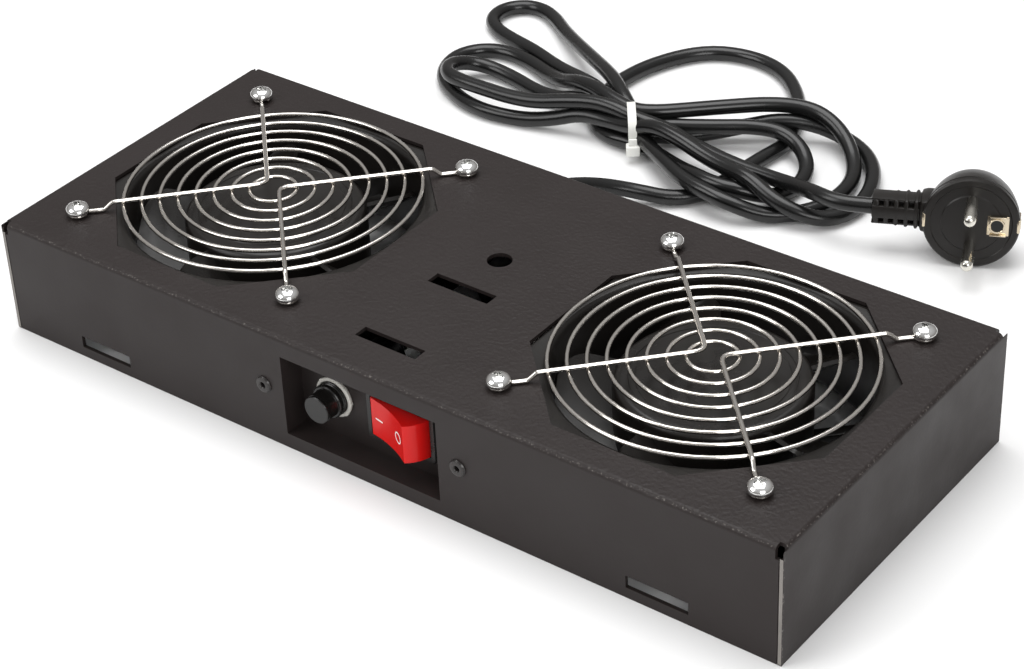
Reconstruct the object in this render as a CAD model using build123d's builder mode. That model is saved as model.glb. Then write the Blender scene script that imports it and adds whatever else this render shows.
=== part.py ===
from build123d import *
import os
from math import atan2, cos, degrees, radians, sin, sqrt, tan

# Rack fan tray: a folded sheet housing with two 120 mm mains fans under
# octagonal openings, wire finger guards, a recessed pocket with a rocker
# switch and a fuse holder, and a mains lead with a moulded angled plug.
# Millimetres. Origin on the floor under the middle of the housing,
# +X right along the front, +Y to the back, +Z up.

# Sheet housing
tray_length = 348.0
tray_width = 145.0
tray_height = 48.0
sheet = 1.5
bend_radius = 2.0
corner_slit = 0.3
relief_half = 1.5

# Sides of the round shapes that are built as regular polygons
bolt_sides = 8
fastener_sides = 12
inner_sides = 24
fan_sides = 36
plug_sides = 24
cord_sides = 8
wire_sides = 4

# Openings in the housing
fan_spacing = 200.0
opening_flats = 120.0
opening_sides = 8
screw_pitch = 105.0
plate_hole_radius = 2.25
top_slot_length = 27.0
top_slot_width = 6.0
rear_slot_y = -11.7
front_slot_y = -52.75
cable_hole_radius = 4.75
cable_hole_y = 10.7
side_slot_length = 25.0
side_slot_height = 5.0
side_slot_x = 125.7
side_slot_z = 6.8

# Control pocket
window_length = 70.0
window_height = 33.6
window_z = 23.0
pocket_depth = 10.5
pocket_sheet = 1.0
pocket_margin = 0.3
flange_reach = 14.5
rivet_x = 44.0
rivet_z = 24.5
rivet_head_radius = 3.4
rivet_head_height = 1.2
rivet_shank_radius = 1.6
rivet_bore_radius = 1.1
rivet_tail_radius = 2.5
rivet_tail_height = 0.9
rivet_clearance = 0.05

# Rocker switch
switch_x = 11.7
switch_z = 23.2
bezel_length = 31.0
bezel_height = 21.0
bezel_thickness = 2.0
bezel_corner = 1.2
rocker_opening_length = 26.6
rocker_opening_height = 16.4
switch_wall = 0.9
switch_depth = 20.0
switch_base = 3.0
cutout_clearance = 0.2
rocker_radius = 13.0
rocker_clearance = 0.3
rocker_front = 7.5
rocker_dish = 1.2
rocker_back = 5.0
rocker_tilt = 20.0
trunnion_radius = 1.2
trunnion_clearance = 0.06
pivot_behind_bezel = 0.9

# Tab terminals, as used on the switch, the fuse holder and the fans
tab_width = 6.3
tab_thickness = 0.8
tab_reach = 9.0
tab_root = 4.5
tab_clearance = 0.05
tab_pitch_x = 14.0
tab_pitch_z = 7.5

# Fuse holder
fuse_x = -19.6
fuse_z = 22.8
barrel_radius = 6.6
barrel_front = 2.9
barrel_length = 32.0
barrel_bore_radius = 4.4
barrel_floor = 3.0
barrel_flange_radius = 8.6
barrel_flange_height = 2.0
ring_nut_radius = 8.0
ring_nut_height = 1.5
thread_clearance = 0.05
cap_skirt_radius = 6.6
cap_skirt_height = 1.8
cap_gap = 0.3
cap_radius = 5.45
cap_length = 5.8
carrier_radius = 4.0
carrier_bore_radius = 2.75
carrier_length = 27.0
carrier_front = 2.0
carrier_pin_radius = 2.0
carrier_pin_length = 3.0
pin_clearance = 0.05
fuse_radius = 2.6
fuse_length = 20.0
fuse_cap_length = 5.5
glass_radius = 2.45

# Fans
fan_size = 119.0
fan_height = 38.0
fan_corner = 4.0
fan_flange = 4.5
fan_hole_radius = 2.2
fan_bore_radius = 56.5
fan_barrel_wall = 2.3
fan_mouth = 2.0
mouth_taper = 45.0
strut_count = 4
strut_width = 5.0
strut_height = 4.0
base_radius = 33.0
base_height = 3.0
tube_radius = 8.5
tube_height = 25.0
bearing_outer_radius = 6.5
bearing_height = 4.0
bearing_step = 14.0
bearing_floor = 2.0
bearing_clearance = 0.03
shaft_radius = 2.5
shaft_clearance = 0.04
shaft_bottom = 3.6
stator_radius = 23.4
stator_bottom = 9.5
stator_height = 16.0
stator_poles = 4
stator_slot_width = 5.0
stator_slot_depth = 6.0
air_gap = 0.6
rotor_bottom = 8.0
rotor_roof = 2.0
hub_radius = 35.0
hub_wall = 2.0
hub_bottom = 7.0
hub_top = 34.0
hub_edge = 2.5
hub_fit = 0.03
boss_radius = 8.0
blade_count = 5
blade_tip_radius = 55.3
blade_thickness = 1.8
blade_edge = 0.7
blade_middle = 19.5
blade_camber = 3.5
blade_root = 30.0
blade_root_width = 29.0
blade_tip_width = 43.0
blade_pitch = 30.0
blade_tip_round = 8.0
boss_height = 3.0
shaft_top_gap = 0.5

# Finger guards and their screws
ring_wire = 1.6
spoke_wire = 1.8
guard_rings = 8
outer_ring_radius = 57.0
ring_step = 6.85
spoke_lift = 3.85
joggle_outer = 62.5
joggle_inner = 58.5
joggle_radius = 2.0
spoke_bend_radius = 3.0
spoke_bend_offset = 2.8
outer_ring_sides = 24
inner_ring_sides = 14
eyelet_radius = 4.1
eyelet_bore_radius = 2.3
screw_radius = 2.0
screw_length = 12.0
screw_head_radius = 4.65
screw_head_height = 3.4
screw_head_rim = 0.9
nut_flats = 7.0
nut_height = 3.2

# Cord gland
gland_x = -44.0
gland_z = 18.0
gland_hole_radius = 5.5
gland_clearance = 0.1
gland_flange_radius = 8.0
gland_flange_height = 2.0
boot_root_radius = 5.6
boot_tip_radius = 4.2
boot_length = 13.0
gland_inner_length = 6.0
lock_nut_flats = 15.0
lock_nut_height = 3.0

# Mains lead
cord_diameter = 6.5
arc_share = 0.45

# Wiring inside the housing
supply_wire_radius = 2.0
fan_wire_radius = 1.5
fan_lead_y = -10.0

# Cable tie
tie_width = 3.6
tie_thickness = 1.2
tie_clearance = 0.2
tie_corner = 5.0
tie_bottom = 0.2
tie_inner_width = 19.0
tie_inner_height = 17.0
tie_head = (6.0, 5.0, 4.5)
tie_head_height = -4.0

# Plug
plug_origin = (109.3, 167.2, 19.0)
plug_heading = 25.0
plug_tilt = 6.0
plug_radius = 18.9
plug_edge = 1.0
plug_barrel = 7.0
plug_barrel_radius = 18.1
plug_shoulder_radius = 16.9
plug_depth = 20.5
plug_back_radius = 13.2
pin_radius = 2.4
pin_length = 19.0
pin_pitch = 19.0
pin_root = 8.0
pin_fit = 0.05
earth_socket_offset = 10.0
earth_socket_radius = 3.2
earth_bore_radius = 2.45
earth_socket_depth = 15.0
clip_width = 6.0
clip_thickness = 1.0
clip_length = 8.0
clip_recess = 2.6
cord_depth = 9.5
collar_reach = 20.0
collar_height = 13.6
collar_width = 15.0
relief_reach = 39.0
relief_width = 12.6
relief_height = 12.8
relief_inset = 1.2
relief_slots = 4
relief_slot_width = 1.8
relief_slot_pitch = 4.2
relief_slot_depth = 3.0
relief_slot_start = 2.4
relief_slot_wall = 1.6

# Free route of the lead: out of the boot and down to the tied hank on the floor
lead_route = [
    (gland_x, tray_width / 2 + boot_length, gland_z),
    (gland_x, 97, gland_z),
    (-43, 108, 15.5),
    (-39.5, 118.5, 12),
    (-33, 127.5, 8.5),
    (-24.5, 134.3, 5.5),
    (-14, 139, 3.7),
]

# Free route from the hank to the plug, after the point where the plug's relief ends
tail_first_run = 8.0
tail_end = (54.9, 154.2)

# Outline of the tied hank on the floor, anticlockwise from beside the lead
hank_outline = [
    (-16, 136),
    (-6, 134),
    (12, 141),
    (34, 148),
    (52, 158),
    (57, 178),
    (47, 206),
    (24, 225),
    (4, 229),
    (-8, 243),
    (-30, 258),
    (-52, 262),
    (-74, 255),
    (-87, 232),
    (-104, 220),
    (-130, 233),
    (-158, 248),
    (-173, 245),
    (-170, 230),
    (-158, 214),
    (-163, 190),
    (-154, 165),
    (-128, 153),
    (-98, 156),
    (-74, 160),
    (-54, 161),
    (-38, 156),
    (-24, 146),
]
hank_height = 13.0
bundle_height = 19.5
bundle_width = 21.0
bundle_length = 44.0
bundle_centre = (-52.5, 169.5)
bundle_heading = 37.0
tail_block_length = 24.0
tail_block_width = 9.0

# Heights and places that follow from the sizes above
half_length = tray_length / 2
half_width = tray_width / 2
plate_under = tray_height - sheet
front_face = -half_width
pocket_face = front_face + pocket_depth
back_inside = half_width - sheet
fan_bottom = plate_under - fan_height
fan_places = {"left": -fan_spacing / 2, "right": fan_spacing / 2}
switch_seat = Plane(origin=(switch_x, pocket_face, switch_z), x_dir=(1, 0, 0), z_dir=(0, -1, 0))
fuse_seat = Plane(origin=(fuse_x, pocket_face, fuse_z), x_dir=(1, 0, 0), z_dir=(0, -1, 0))
gland_seat = Plane(origin=(gland_x, half_width, gland_z), x_dir=(-1, 0, 0), z_dir=(0, 1, 0))
front_seat = Plane(origin=(0, front_face, 0), x_dir=(1, 0, 0), z_dir=(0, -1, 0))
back_seat = Plane(origin=(0, half_width, 0), x_dir=(-1, 0, 0), z_dir=(0, 1, 0))
switch_outer_length = rocker_opening_length + 2 * switch_wall
switch_outer_height = rocker_opening_height + 2 * switch_wall


def save(part, name):
    """Label a finished piece and write its own file."""
    part.label = name
    os.makedirs("parts", exist_ok=True)
    export_step(part, "parts/" + name + ".step")
    print(name, round(part.volume, 1), "mm3", len(part.solids()), "solid(s)")


def fan_seat(x, height=0.0):
    """The plane of a fan's own base, or one a given height above it."""
    return Plane.XY.offset(fan_bottom + height).move(Location((x, 0, 0)))


def lean(inset, run):
    """Taper angle of a wall that comes in by an inset over a run."""
    return degrees(atan2(inset, run))


def corner_radii(route):
    """The largest tangent arcs that the runs of a route allow."""
    points = [Vector(*point) for point in route]
    radii = []
    for before, here, after in zip(points, points[1:], points[2:]):
        turn = radians((here - before).get_angle(after - here))
        run = min((here - before).length, (after - here).length)
        radii.append(arc_share * run / tan(turn / 2))
    return radii


def tube_along(route, radius, sides=0):
    """A tube of straight runs and tangent arcs along a route."""
    radii = corner_radii(route)
    with BuildPart() as tube:
        with BuildLine() as path:
            rail = FilletPolyline(*route, radius=radii)
        with BuildSketch(Plane(origin=rail @ 0, z_dir=rail % 0)) as section:
            if sides:
                RegularPolygon(radius, sides)
            else:
                Circle(radius)
        sweep(path=rail)
    return tube.part, radii, rail.length


def make_housing():
    """One folded sheet: the top plate and four walls, open underneath."""
    with BuildPart() as housing:
        Box(tray_length, tray_width, tray_height, align=(Align.CENTER, Align.CENTER, Align.MIN))
        fillet(housing.faces().sort_by(Axis.Z)[-1].edges(), bend_radius)
        with BuildSketch(Plane.XY) as inside:
            Rectangle(tray_length - 2 * sheet, tray_width - 2 * sheet)
        extrude(amount=plate_under, mode=Mode.SUBTRACT)
        inner_top = housing.faces().filter_by(Axis.Z).sort_by(Axis.Z)[-2]
        fillet(inner_top.edges(), bend_radius - sheet)
        # The front and back walls end just inside the side walls
        slit_x = half_length - sheet - corner_slit / 2
        slit_height = plate_under - bend_radius
        for end in (-1, 1):
            for side in (-1, 1):
                with Locations((end * slit_x, side * (half_width - sheet / 2), slit_height / 2)):
                    Box(corner_slit, 2 * sheet, slit_height, mode=Mode.SUBTRACT)
        with BuildSketch(Plane.XY.offset(slit_height - relief_half)) as corner_reliefs:
            with GridLocations(2 * slit_x, 2 * (half_width - sheet), 2, 2):
                Rectangle(2 * relief_half, 2 * relief_half)
        extrude(amount=tray_height, mode=Mode.SUBTRACT)
        with BuildSketch(Plane.XY.offset(tray_height)) as top_openings:
            with GridLocations(fan_spacing, 0, 2, 1):
                RegularPolygon(
                    opening_flats / 2,
                    opening_sides,
                    major_radius=False,
                    rotation=180 / opening_sides,
                )
                with GridLocations(screw_pitch, screw_pitch, 2, 2):
                    RegularPolygon(plate_hole_radius, bolt_sides, major_radius=False)
            with Locations((0, rear_slot_y), (0, front_slot_y)):
                Rectangle(top_slot_length, top_slot_width)
            with Locations((0, cable_hole_y)):
                Circle(cable_hole_radius)
        extrude(amount=-2 * sheet, mode=Mode.SUBTRACT)
        with BuildSketch(front_seat) as front_openings:
            with Locations((0, window_z)):
                Rectangle(window_length, window_height)
            with Locations((-side_slot_x, side_slot_z), (side_slot_x, side_slot_z)):
                Rectangle(side_slot_length, side_slot_height)
            with Locations((-rivet_x, rivet_z), (rivet_x, rivet_z)):
                hole = rivet_shank_radius + rivet_clearance
                RegularPolygon(hole, fastener_sides, major_radius=False)
        extrude(amount=-2 * sheet, mode=Mode.SUBTRACT)
        with BuildSketch(back_seat) as gland_opening:
            with Locations((-gland_x, gland_z)):
                Circle(gland_hole_radius)
        extrude(amount=-2 * sheet, mode=Mode.SUBTRACT)
    return housing.part


def make_pocket():
    """Folded bracket behind the front window that carries the switch and the fuse."""
    inner_length = window_length + 2 * pocket_margin
    inner_height = window_height + 2 * pocket_margin
    flange_plane = front_seat.offset(-sheet)
    with BuildPart() as pocket:
        with BuildSketch(flange_plane) as outline:
            with Locations((0, window_z)):
                Rectangle(inner_length + 2 * pocket_sheet, inner_height + 2 * pocket_sheet)
        extrude(amount=-(pocket_depth - sheet + pocket_sheet))
        with BuildSketch(flange_plane) as flanges:
            with Locations((0, window_z)):
                Rectangle(inner_length + 2 * flange_reach, inner_height + 2 * pocket_sheet)
        extrude(amount=-pocket_sheet)
        with BuildSketch(flange_plane) as recess:
            with Locations((0, window_z)):
                Rectangle(inner_length, inner_height)
        extrude(amount=-(pocket_depth - sheet), mode=Mode.SUBTRACT)
        with BuildSketch(front_seat.offset(-pocket_depth)) as cutouts:
            with Locations((switch_x, switch_z)):
                Rectangle(
                    switch_outer_length + 2 * cutout_clearance,
                    switch_outer_height + 2 * cutout_clearance,
                )
            with Locations((fuse_x, fuse_z)):
                Circle(barrel_radius + cutout_clearance)
        extrude(amount=-2 * pocket_sheet, mode=Mode.SUBTRACT)
        with BuildSketch(flange_plane) as rivet_holes:
            with Locations((-rivet_x, rivet_z), (rivet_x, rivet_z)):
                hole = rivet_shank_radius + rivet_clearance
                RegularPolygon(hole, fastener_sides, major_radius=False)
        extrude(amount=-2 * pocket_sheet, mode=Mode.SUBTRACT)
    return pocket.part


def make_rivets():
    """Two tubular rivets through the front wall and the pocket's flanges."""
    grip = sheet + pocket_sheet
    with BuildPart() as rivets:
        with BuildSketch(front_seat.offset(-grip - rivet_tail_height)) as shanks:
            with Locations((-rivet_x, rivet_z), (rivet_x, rivet_z)):
                RegularPolygon(rivet_shank_radius, fastener_sides)
        extrude(amount=grip + rivet_tail_height)
        with BuildSketch(front_seat.offset(-grip - rivet_tail_height)) as tails:
            with Locations((-rivet_x, rivet_z), (rivet_x, rivet_z)):
                RegularPolygon(rivet_tail_radius, fastener_sides)
        extrude(amount=rivet_tail_height)
        with BuildSketch(front_seat) as heads:
            with Locations((-rivet_x, rivet_z), (rivet_x, rivet_z)):
                RegularPolygon(rivet_head_radius, fastener_sides)
        extrude(amount=rivet_head_height)
        rims = rivets.faces().group_by(Axis.Y)[0].edges()
        chamfer(rims, rivet_head_height / 2)
        with BuildSketch(front_seat.offset(rivet_head_height)) as bores:
            with Locations((-rivet_x, rivet_z), (rivet_x, rivet_z)):
                RegularPolygon(rivet_bore_radius, fastener_sides)
        through = grip + rivet_head_height + rivet_tail_height
        extrude(amount=-through, mode=Mode.SUBTRACT)
    return rivets.part


def make_switch_housing():
    """Moulded bezel and box of the rocker switch, with trunnion holes and tab slots."""
    with BuildPart() as box:
        with BuildSketch(switch_seat) as bezel:
            Rectangle(bezel_length, bezel_height)
            chamfer(bezel.vertices(), bezel_corner)
        extrude(amount=bezel_thickness)
        front_edges = box.faces().sort_by(Axis.Y)[0].edges()
        chamfer(front_edges, bezel_thickness / 4)
        with BuildSketch(switch_seat) as body:
            Rectangle(switch_outer_length, switch_outer_height)
        extrude(amount=-switch_depth)
        with BuildSketch(switch_seat.offset(bezel_thickness)) as cavity:
            Rectangle(rocker_opening_length, rocker_opening_height)
        extrude(amount=-(bezel_thickness + switch_depth - switch_base), mode=Mode.SUBTRACT)
        with Locations(Location((switch_x, pocket_face + pivot_behind_bezel, switch_z))):
            Cylinder(
                trunnion_radius + trunnion_clearance,
                switch_outer_height,
                mode=Mode.SUBTRACT,
            )
        with BuildSketch(switch_seat.offset(-switch_depth)) as tab_slots:
            with GridLocations(tab_pitch_x, tab_pitch_z, 2, 2):
                Rectangle(tab_width + 2 * tab_clearance, tab_thickness + 2 * tab_clearance)
        extrude(amount=switch_base, mode=Mode.SUBTRACT)
    return box.part


def make_rocker():
    """Rocker cut from a disc about its pivot, dished in front, with two trunnions."""
    pivot_y = pocket_face + pivot_behind_bezel
    tall = rocker_opening_height - 2 * rocker_clearance
    corner_x = sqrt(rocker_radius**2 - rocker_front**2)
    heel_x = sqrt(rocker_radius**2 - rocker_back**2)
    turned = Plane(origin=(switch_x, pivot_y, switch_z), x_dir=(1, 0, 0), z_dir=(0, 0, 1))
    turned = turned.rotated((0, 0, -rocker_tilt))
    with BuildPart() as rocker:
        with BuildSketch(turned.offset(-tall / 2)) as outline:
            with BuildLine() as profile:
                ThreePointArc(
                    (-corner_x, -rocker_front),
                    (0, -rocker_front + rocker_dish),
                    (corner_x, -rocker_front),
                )
                ThreePointArc(
                    (corner_x, -rocker_front),
                    (rocker_radius, 0),
                    (heel_x, rocker_back),
                )
                Line((heel_x, rocker_back), (-heel_x, rocker_back))
                ThreePointArc(
                    (-heel_x, rocker_back),
                    (-rocker_radius, 0),
                    (-corner_x, -rocker_front),
                )
            make_face()
        extrude(amount=tall)
        with BuildSketch(turned.offset(-tall / 2 - switch_wall)) as trunnions:
            Circle(trunnion_radius)
        extrude(amount=tall + 2 * switch_wall)
    return rocker.part


def make_switch_tabs():
    """Four push-on tabs that stand out of the back of the switch."""
    root = switch_seat.offset(-(switch_depth - tab_root))
    with BuildPart() as tabs:
        with BuildSketch(root) as blades:
            with GridLocations(tab_pitch_x, tab_pitch_z, 2, 2):
                Rectangle(tab_width, tab_thickness)
        extrude(amount=-(tab_root + tab_reach))
    return tabs.part


def make_fuse_barrel():
    """Threaded barrel of the fuse holder, with the flange behind the pocket wall."""
    with BuildPart() as barrel:
        with BuildSketch(fuse_seat.offset(barrel_front)) as round_body:
            RegularPolygon(barrel_radius, inner_sides)
        extrude(amount=-(barrel_front + barrel_length))
        with BuildSketch(fuse_seat.offset(-pocket_sheet)) as flange:
            RegularPolygon(barrel_flange_radius, fastener_sides)
        extrude(amount=-barrel_flange_height)
        with BuildSketch(fuse_seat.offset(barrel_front)) as bore:
            Circle(barrel_bore_radius)
        extrude(amount=-(barrel_front + barrel_length - barrel_floor), mode=Mode.SUBTRACT)
        with BuildSketch(fuse_seat.offset(-barrel_length)) as tab_slot:
            Rectangle(tab_width + 2 * tab_clearance, tab_thickness + 2 * tab_clearance)
        extrude(amount=barrel_floor, mode=Mode.SUBTRACT)
    return barrel.part


def make_ring_nut():
    """Bright ring nut that holds the fuse barrel from the front."""
    with BuildPart() as nut:
        with BuildSketch(fuse_seat) as ring:
            RegularPolygon(ring_nut_radius, inner_sides)
            RegularPolygon(barrel_radius + thread_clearance, inner_sides, mode=Mode.SUBTRACT)
        extrude(amount=ring_nut_height)
    return nut.part


def make_fuse_cap():
    """Turning cap: gripped skirt, plain knob, and the bore for the carrier's pin."""
    skirt_back = barrel_front + cap_gap
    with BuildPart() as cap:
        with BuildSketch(fuse_seat.offset(skirt_back)) as skirt:
            RegularPolygon(cap_skirt_radius, inner_sides)
        extrude(amount=cap_skirt_height)
        with BuildSketch(fuse_seat.offset(skirt_back)) as knob:
            RegularPolygon(cap_radius, inner_sides)
        extrude(amount=cap_skirt_height + cap_length)
        with BuildSketch(fuse_seat.offset(skirt_back)) as pin_bore:
            Circle(carrier_pin_radius + pin_clearance)
        extrude(amount=carrier_pin_length, mode=Mode.SUBTRACT)
    return cap.part


def make_fuse_carrier():
    """Carrier that slides in the barrel with the fuse, open along one side."""
    front = barrel_front
    with BuildPart() as carrier:
        with BuildSketch(fuse_seat.offset(front)) as tube:
            RegularPolygon(carrier_radius, inner_sides)
        extrude(amount=-carrier_length)
        with BuildSketch(fuse_seat.offset(front - carrier_front)) as bore:
            RegularPolygon(carrier_bore_radius, fastener_sides, major_radius=False)
        extrude(amount=-(carrier_length - carrier_front), mode=Mode.SUBTRACT)
        with BuildSketch(fuse_seat.offset(front - 2 * carrier_front)) as side_window:
            with Locations((0, carrier_radius)):
                Rectangle(carrier_radius, 2 * carrier_radius - fuse_radius)
        extrude(amount=-(carrier_length - 4 * carrier_front), mode=Mode.SUBTRACT)
        with BuildSketch(fuse_seat.offset(front)) as pin:
            Circle(carrier_pin_radius)
        extrude(amount=carrier_pin_length)
    return carrier.part


def make_fuse():
    """Cartridge fuse: a glass tube between two metal end caps."""
    front = barrel_front - carrier_front - pin_clearance
    with BuildPart() as caps:
        for start in (front, front - fuse_length + fuse_cap_length):
            with BuildSketch(fuse_seat.offset(start)) as end_cap:
                RegularPolygon(fuse_radius, fastener_sides)
            extrude(amount=-fuse_cap_length)
    with BuildPart() as glass:
        with BuildSketch(fuse_seat.offset(front - fuse_cap_length)) as tube:
            RegularPolygon(glass_radius, fastener_sides)
        extrude(amount=-(fuse_length - 2 * fuse_cap_length))
    return caps.part, glass.part


def make_fuse_tabs():
    """The barrel's two solder tabs: one through its floor and one on its side."""
    with BuildPart() as tabs:
        with BuildSketch(fuse_seat.offset(-(barrel_length - barrel_floor))) as end_tab:
            Rectangle(tab_width, tab_thickness)
        extrude(amount=-(barrel_floor + tab_reach))
        side = Plane(
            origin=(fuse_x - barrel_radius, pocket_face + barrel_length / 2, fuse_z),
            x_dir=(0, 1, 0),
            z_dir=(-1, 0, 0),
        )
        with BuildSketch(side) as side_tab:
            Rectangle(tab_width, tab_thickness)
        extrude(amount=tab_reach)
    return tabs.part


def make_fan_frame(x):
    """Cast frame: two square flanges on a round barrel, struts, base and bearing tube."""
    outer = fan_bore_radius + fan_barrel_wall
    with BuildPart() as frame:
        for height in (0.0, fan_height - fan_flange):
            with BuildSketch(fan_seat(x, height)) as flange:
                Rectangle(fan_size, fan_size)
                chamfer(flange.vertices(), fan_corner)
                with GridLocations(screw_pitch, screw_pitch, 2, 2):
                    RegularPolygon(
                        fan_hole_radius,
                        bolt_sides,
                        major_radius=False,
                        mode=Mode.SUBTRACT,
                    )
            extrude(amount=fan_flange)
        with BuildSketch(fan_seat(x)) as barrel:
            RegularPolygon(outer, fan_sides)
        extrude(amount=fan_height)
        for height, way in ((0.0, 1), (fan_height, -1)):
            with BuildSketch(fan_seat(x, height)) as mouth:
                RegularPolygon(fan_bore_radius + fan_mouth, fan_sides, major_radius=False)
            extrude(amount=way * fan_mouth, taper=mouth_taper, mode=Mode.SUBTRACT)
        with BuildSketch(fan_seat(x)) as bore:
            RegularPolygon(fan_bore_radius, fan_sides, major_radius=False)
        extrude(amount=fan_height, mode=Mode.SUBTRACT)
        with BuildSketch(fan_seat(x)) as struts:
            with PolarLocations(0, strut_count, start_angle=45):
                Rectangle(outer, strut_width, align=(Align.MIN, Align.CENTER))
        extrude(amount=strut_height)
        with BuildSketch(fan_seat(x)) as base:
            RegularPolygon(base_radius, inner_sides)
        extrude(amount=base_height)
        with BuildSketch(fan_seat(x)) as tube:
            RegularPolygon(tube_radius, inner_sides)
        extrude(amount=tube_height)
        with BuildSketch(fan_seat(x, base_height)) as tube_bore:
            RegularPolygon(bearing_outer_radius + bearing_clearance, inner_sides)
        extrude(amount=tube_height, mode=Mode.SUBTRACT)
    return frame.part


def make_bearings():
    """Two ball bearings in each fan's bearing tube, shown as their closed outlines."""
    with BuildPart() as bearings:
        for x in fan_places.values():
            for step in (0.0, bearing_step):
                height = base_height + bearing_floor + step
                with BuildSketch(fan_seat(x, height)) as ring:
                    RegularPolygon(bearing_outer_radius, inner_sides)
                    RegularPolygon(
                        shaft_radius + shaft_clearance,
                        fastener_sides,
                        major_radius=False,
                        mode=Mode.SUBTRACT,
                    )
                extrude(amount=bearing_height)
    return bearings.part


def make_stator(x):
    """Laminated four-pole stator pressed on the bearing tube, open at its pole gaps."""
    with BuildPart() as stator:
        with BuildSketch(fan_seat(x, stator_bottom)) as lamination:
            RegularPolygon(stator_radius, inner_sides)
            RegularPolygon(tube_radius + bearing_clearance, inner_sides, mode=Mode.SUBTRACT)
            with PolarLocations(stator_radius, stator_poles):
                Rectangle(2 * stator_slot_depth, stator_slot_width, mode=Mode.SUBTRACT)
        extrude(amount=stator_height)
    return stator.part


def make_rotor_cup(x):
    """Steel rotor cup that turns round the stator and is pressed into the hub."""
    roof = hub_top - hub_wall
    with BuildPart() as cup:
        with BuildSketch(fan_seat(x, rotor_bottom)) as outside:
            RegularPolygon(hub_radius - hub_wall - hub_fit, inner_sides)
        extrude(amount=roof - rotor_bottom)
        with BuildSketch(fan_seat(x, rotor_bottom)) as inside:
            RegularPolygon(stator_radius + air_gap, inner_sides, major_radius=False)
        extrude(amount=roof - rotor_bottom - rotor_roof, mode=Mode.SUBTRACT)
        with BuildSketch(fan_seat(x, roof)) as boss_hole:
            RegularPolygon(boss_radius + hub_fit, fastener_sides)
        extrude(amount=-rotor_roof, mode=Mode.SUBTRACT)
    return cup.part


def make_shaft(x):
    """Steel shaft, fixed in the hub's boss and running in the two bearings."""
    with BuildPart() as shaft:
        with BuildSketch(fan_seat(x, shaft_bottom)) as bar:
            Circle(shaft_radius)
        extrude(amount=hub_top - shaft_top_gap - shaft_bottom)
    return shaft.part


def make_blade(x):
    """One broad cambered blade, pitched to the turn, with rounded corners at its tip."""
    plane = Plane(
        origin=(x + blade_root, 0, fan_bottom + blade_middle),
        x_dir=(0, -cos(radians(blade_pitch)), sin(radians(blade_pitch))),
        z_dir=(1, 0, 0),
    )
    half = blade_tip_width / cos(radians(blade_pitch)) / 2
    with BuildPart() as blade:
        with BuildSketch(plane) as section:
            with BuildLine() as outline:
                upper = ThreePointArc(
                    (-half, blade_edge / 2),
                    (0, blade_camber + blade_thickness / 2),
                    (half, blade_edge / 2),
                )
                lower = ThreePointArc(
                    (half, -blade_edge / 2),
                    (0, blade_camber - blade_thickness / 2),
                    (-half, -blade_edge / 2),
                )
                Line(upper @ 1, lower @ 0)
                Line(lower @ 1, upper @ 0)
            make_face()
        extrude(amount=fan_size / 2 - blade_root)
        with BuildSketch(fan_seat(x)) as plan:
            Polygon(
                (blade_root, -blade_root_width / 2),
                (blade_tip_radius, -blade_tip_width / 2),
                (blade_tip_radius, blade_tip_width / 2),
                (blade_root, blade_root_width / 2),
                align=None,
            )
            chamfer(plan.vertices().group_by(Axis.X)[-1], blade_tip_round)
        extrude(amount=fan_height, mode=Mode.INTERSECT)
    return blade.part


def make_impeller(x):
    """Moulded hub cup with a boss for the shaft and broad cambered blades."""
    roof = hub_top - hub_wall
    blade = make_blade(x)
    with BuildPart() as wheel:
        with BuildSketch(fan_seat(x, hub_bottom)) as hub:
            RegularPolygon(hub_radius, fan_sides)
        extrude(amount=hub_top - hub_bottom)
        chamfer(wheel.faces().sort_by(Axis.Z)[-1].edges(), hub_edge)
        for number in range(blade_count):
            heading = 360 / blade_count * number
            add(blade.rotate(Axis((x, 0, 0), (0, 0, 1)), heading))
        with BuildSketch(fan_seat(x)) as tip_trim:
            RegularPolygon(fan_size, opening_sides)
            RegularPolygon(blade_tip_radius, fan_sides, mode=Mode.SUBTRACT)
        extrude(amount=fan_height, mode=Mode.SUBTRACT)
        with BuildSketch(fan_seat(x)) as cup:
            RegularPolygon(hub_radius - hub_wall, inner_sides)
        extrude(amount=roof, mode=Mode.SUBTRACT)
        with BuildSketch(fan_seat(x, roof - boss_height)) as boss:
            RegularPolygon(boss_radius, fastener_sides)
        extrude(amount=boss_height)
        with BuildSketch(fan_seat(x, roof - boss_height)) as shaft_seat:
            Circle(shaft_radius + hub_fit)
        extrude(amount=boss_height + hub_wall - shaft_top_gap, mode=Mode.SUBTRACT)
    return wheel.part


def spoke_path(centre, corner, first, last):
    """Route of one bent spoke wire: eyelet, joggle, middle bend, joggle, eyelet."""
    low = tray_height + spoke_wire / 2
    high = tray_height + spoke_lift
    middle = Vector(centre[0] + corner[0], centre[1] + corner[1])
    ends = []
    for place in (first, last):
        screw = Vector(centre[0] + place[0], centre[1] + place[1])
        reach = (screw - middle).length - eyelet_radius + spoke_wire / 2
        along = (screw - middle).normalized()
        ends.append([
            middle + along * reach + Vector(0, 0, low),
            middle + along * joggle_outer + Vector(0, 0, low),
            middle + along * joggle_inner + Vector(0, 0, high),
        ])
    return ends[0] + [middle + Vector(0, 0, high)] + ends[1][::-1]


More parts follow.
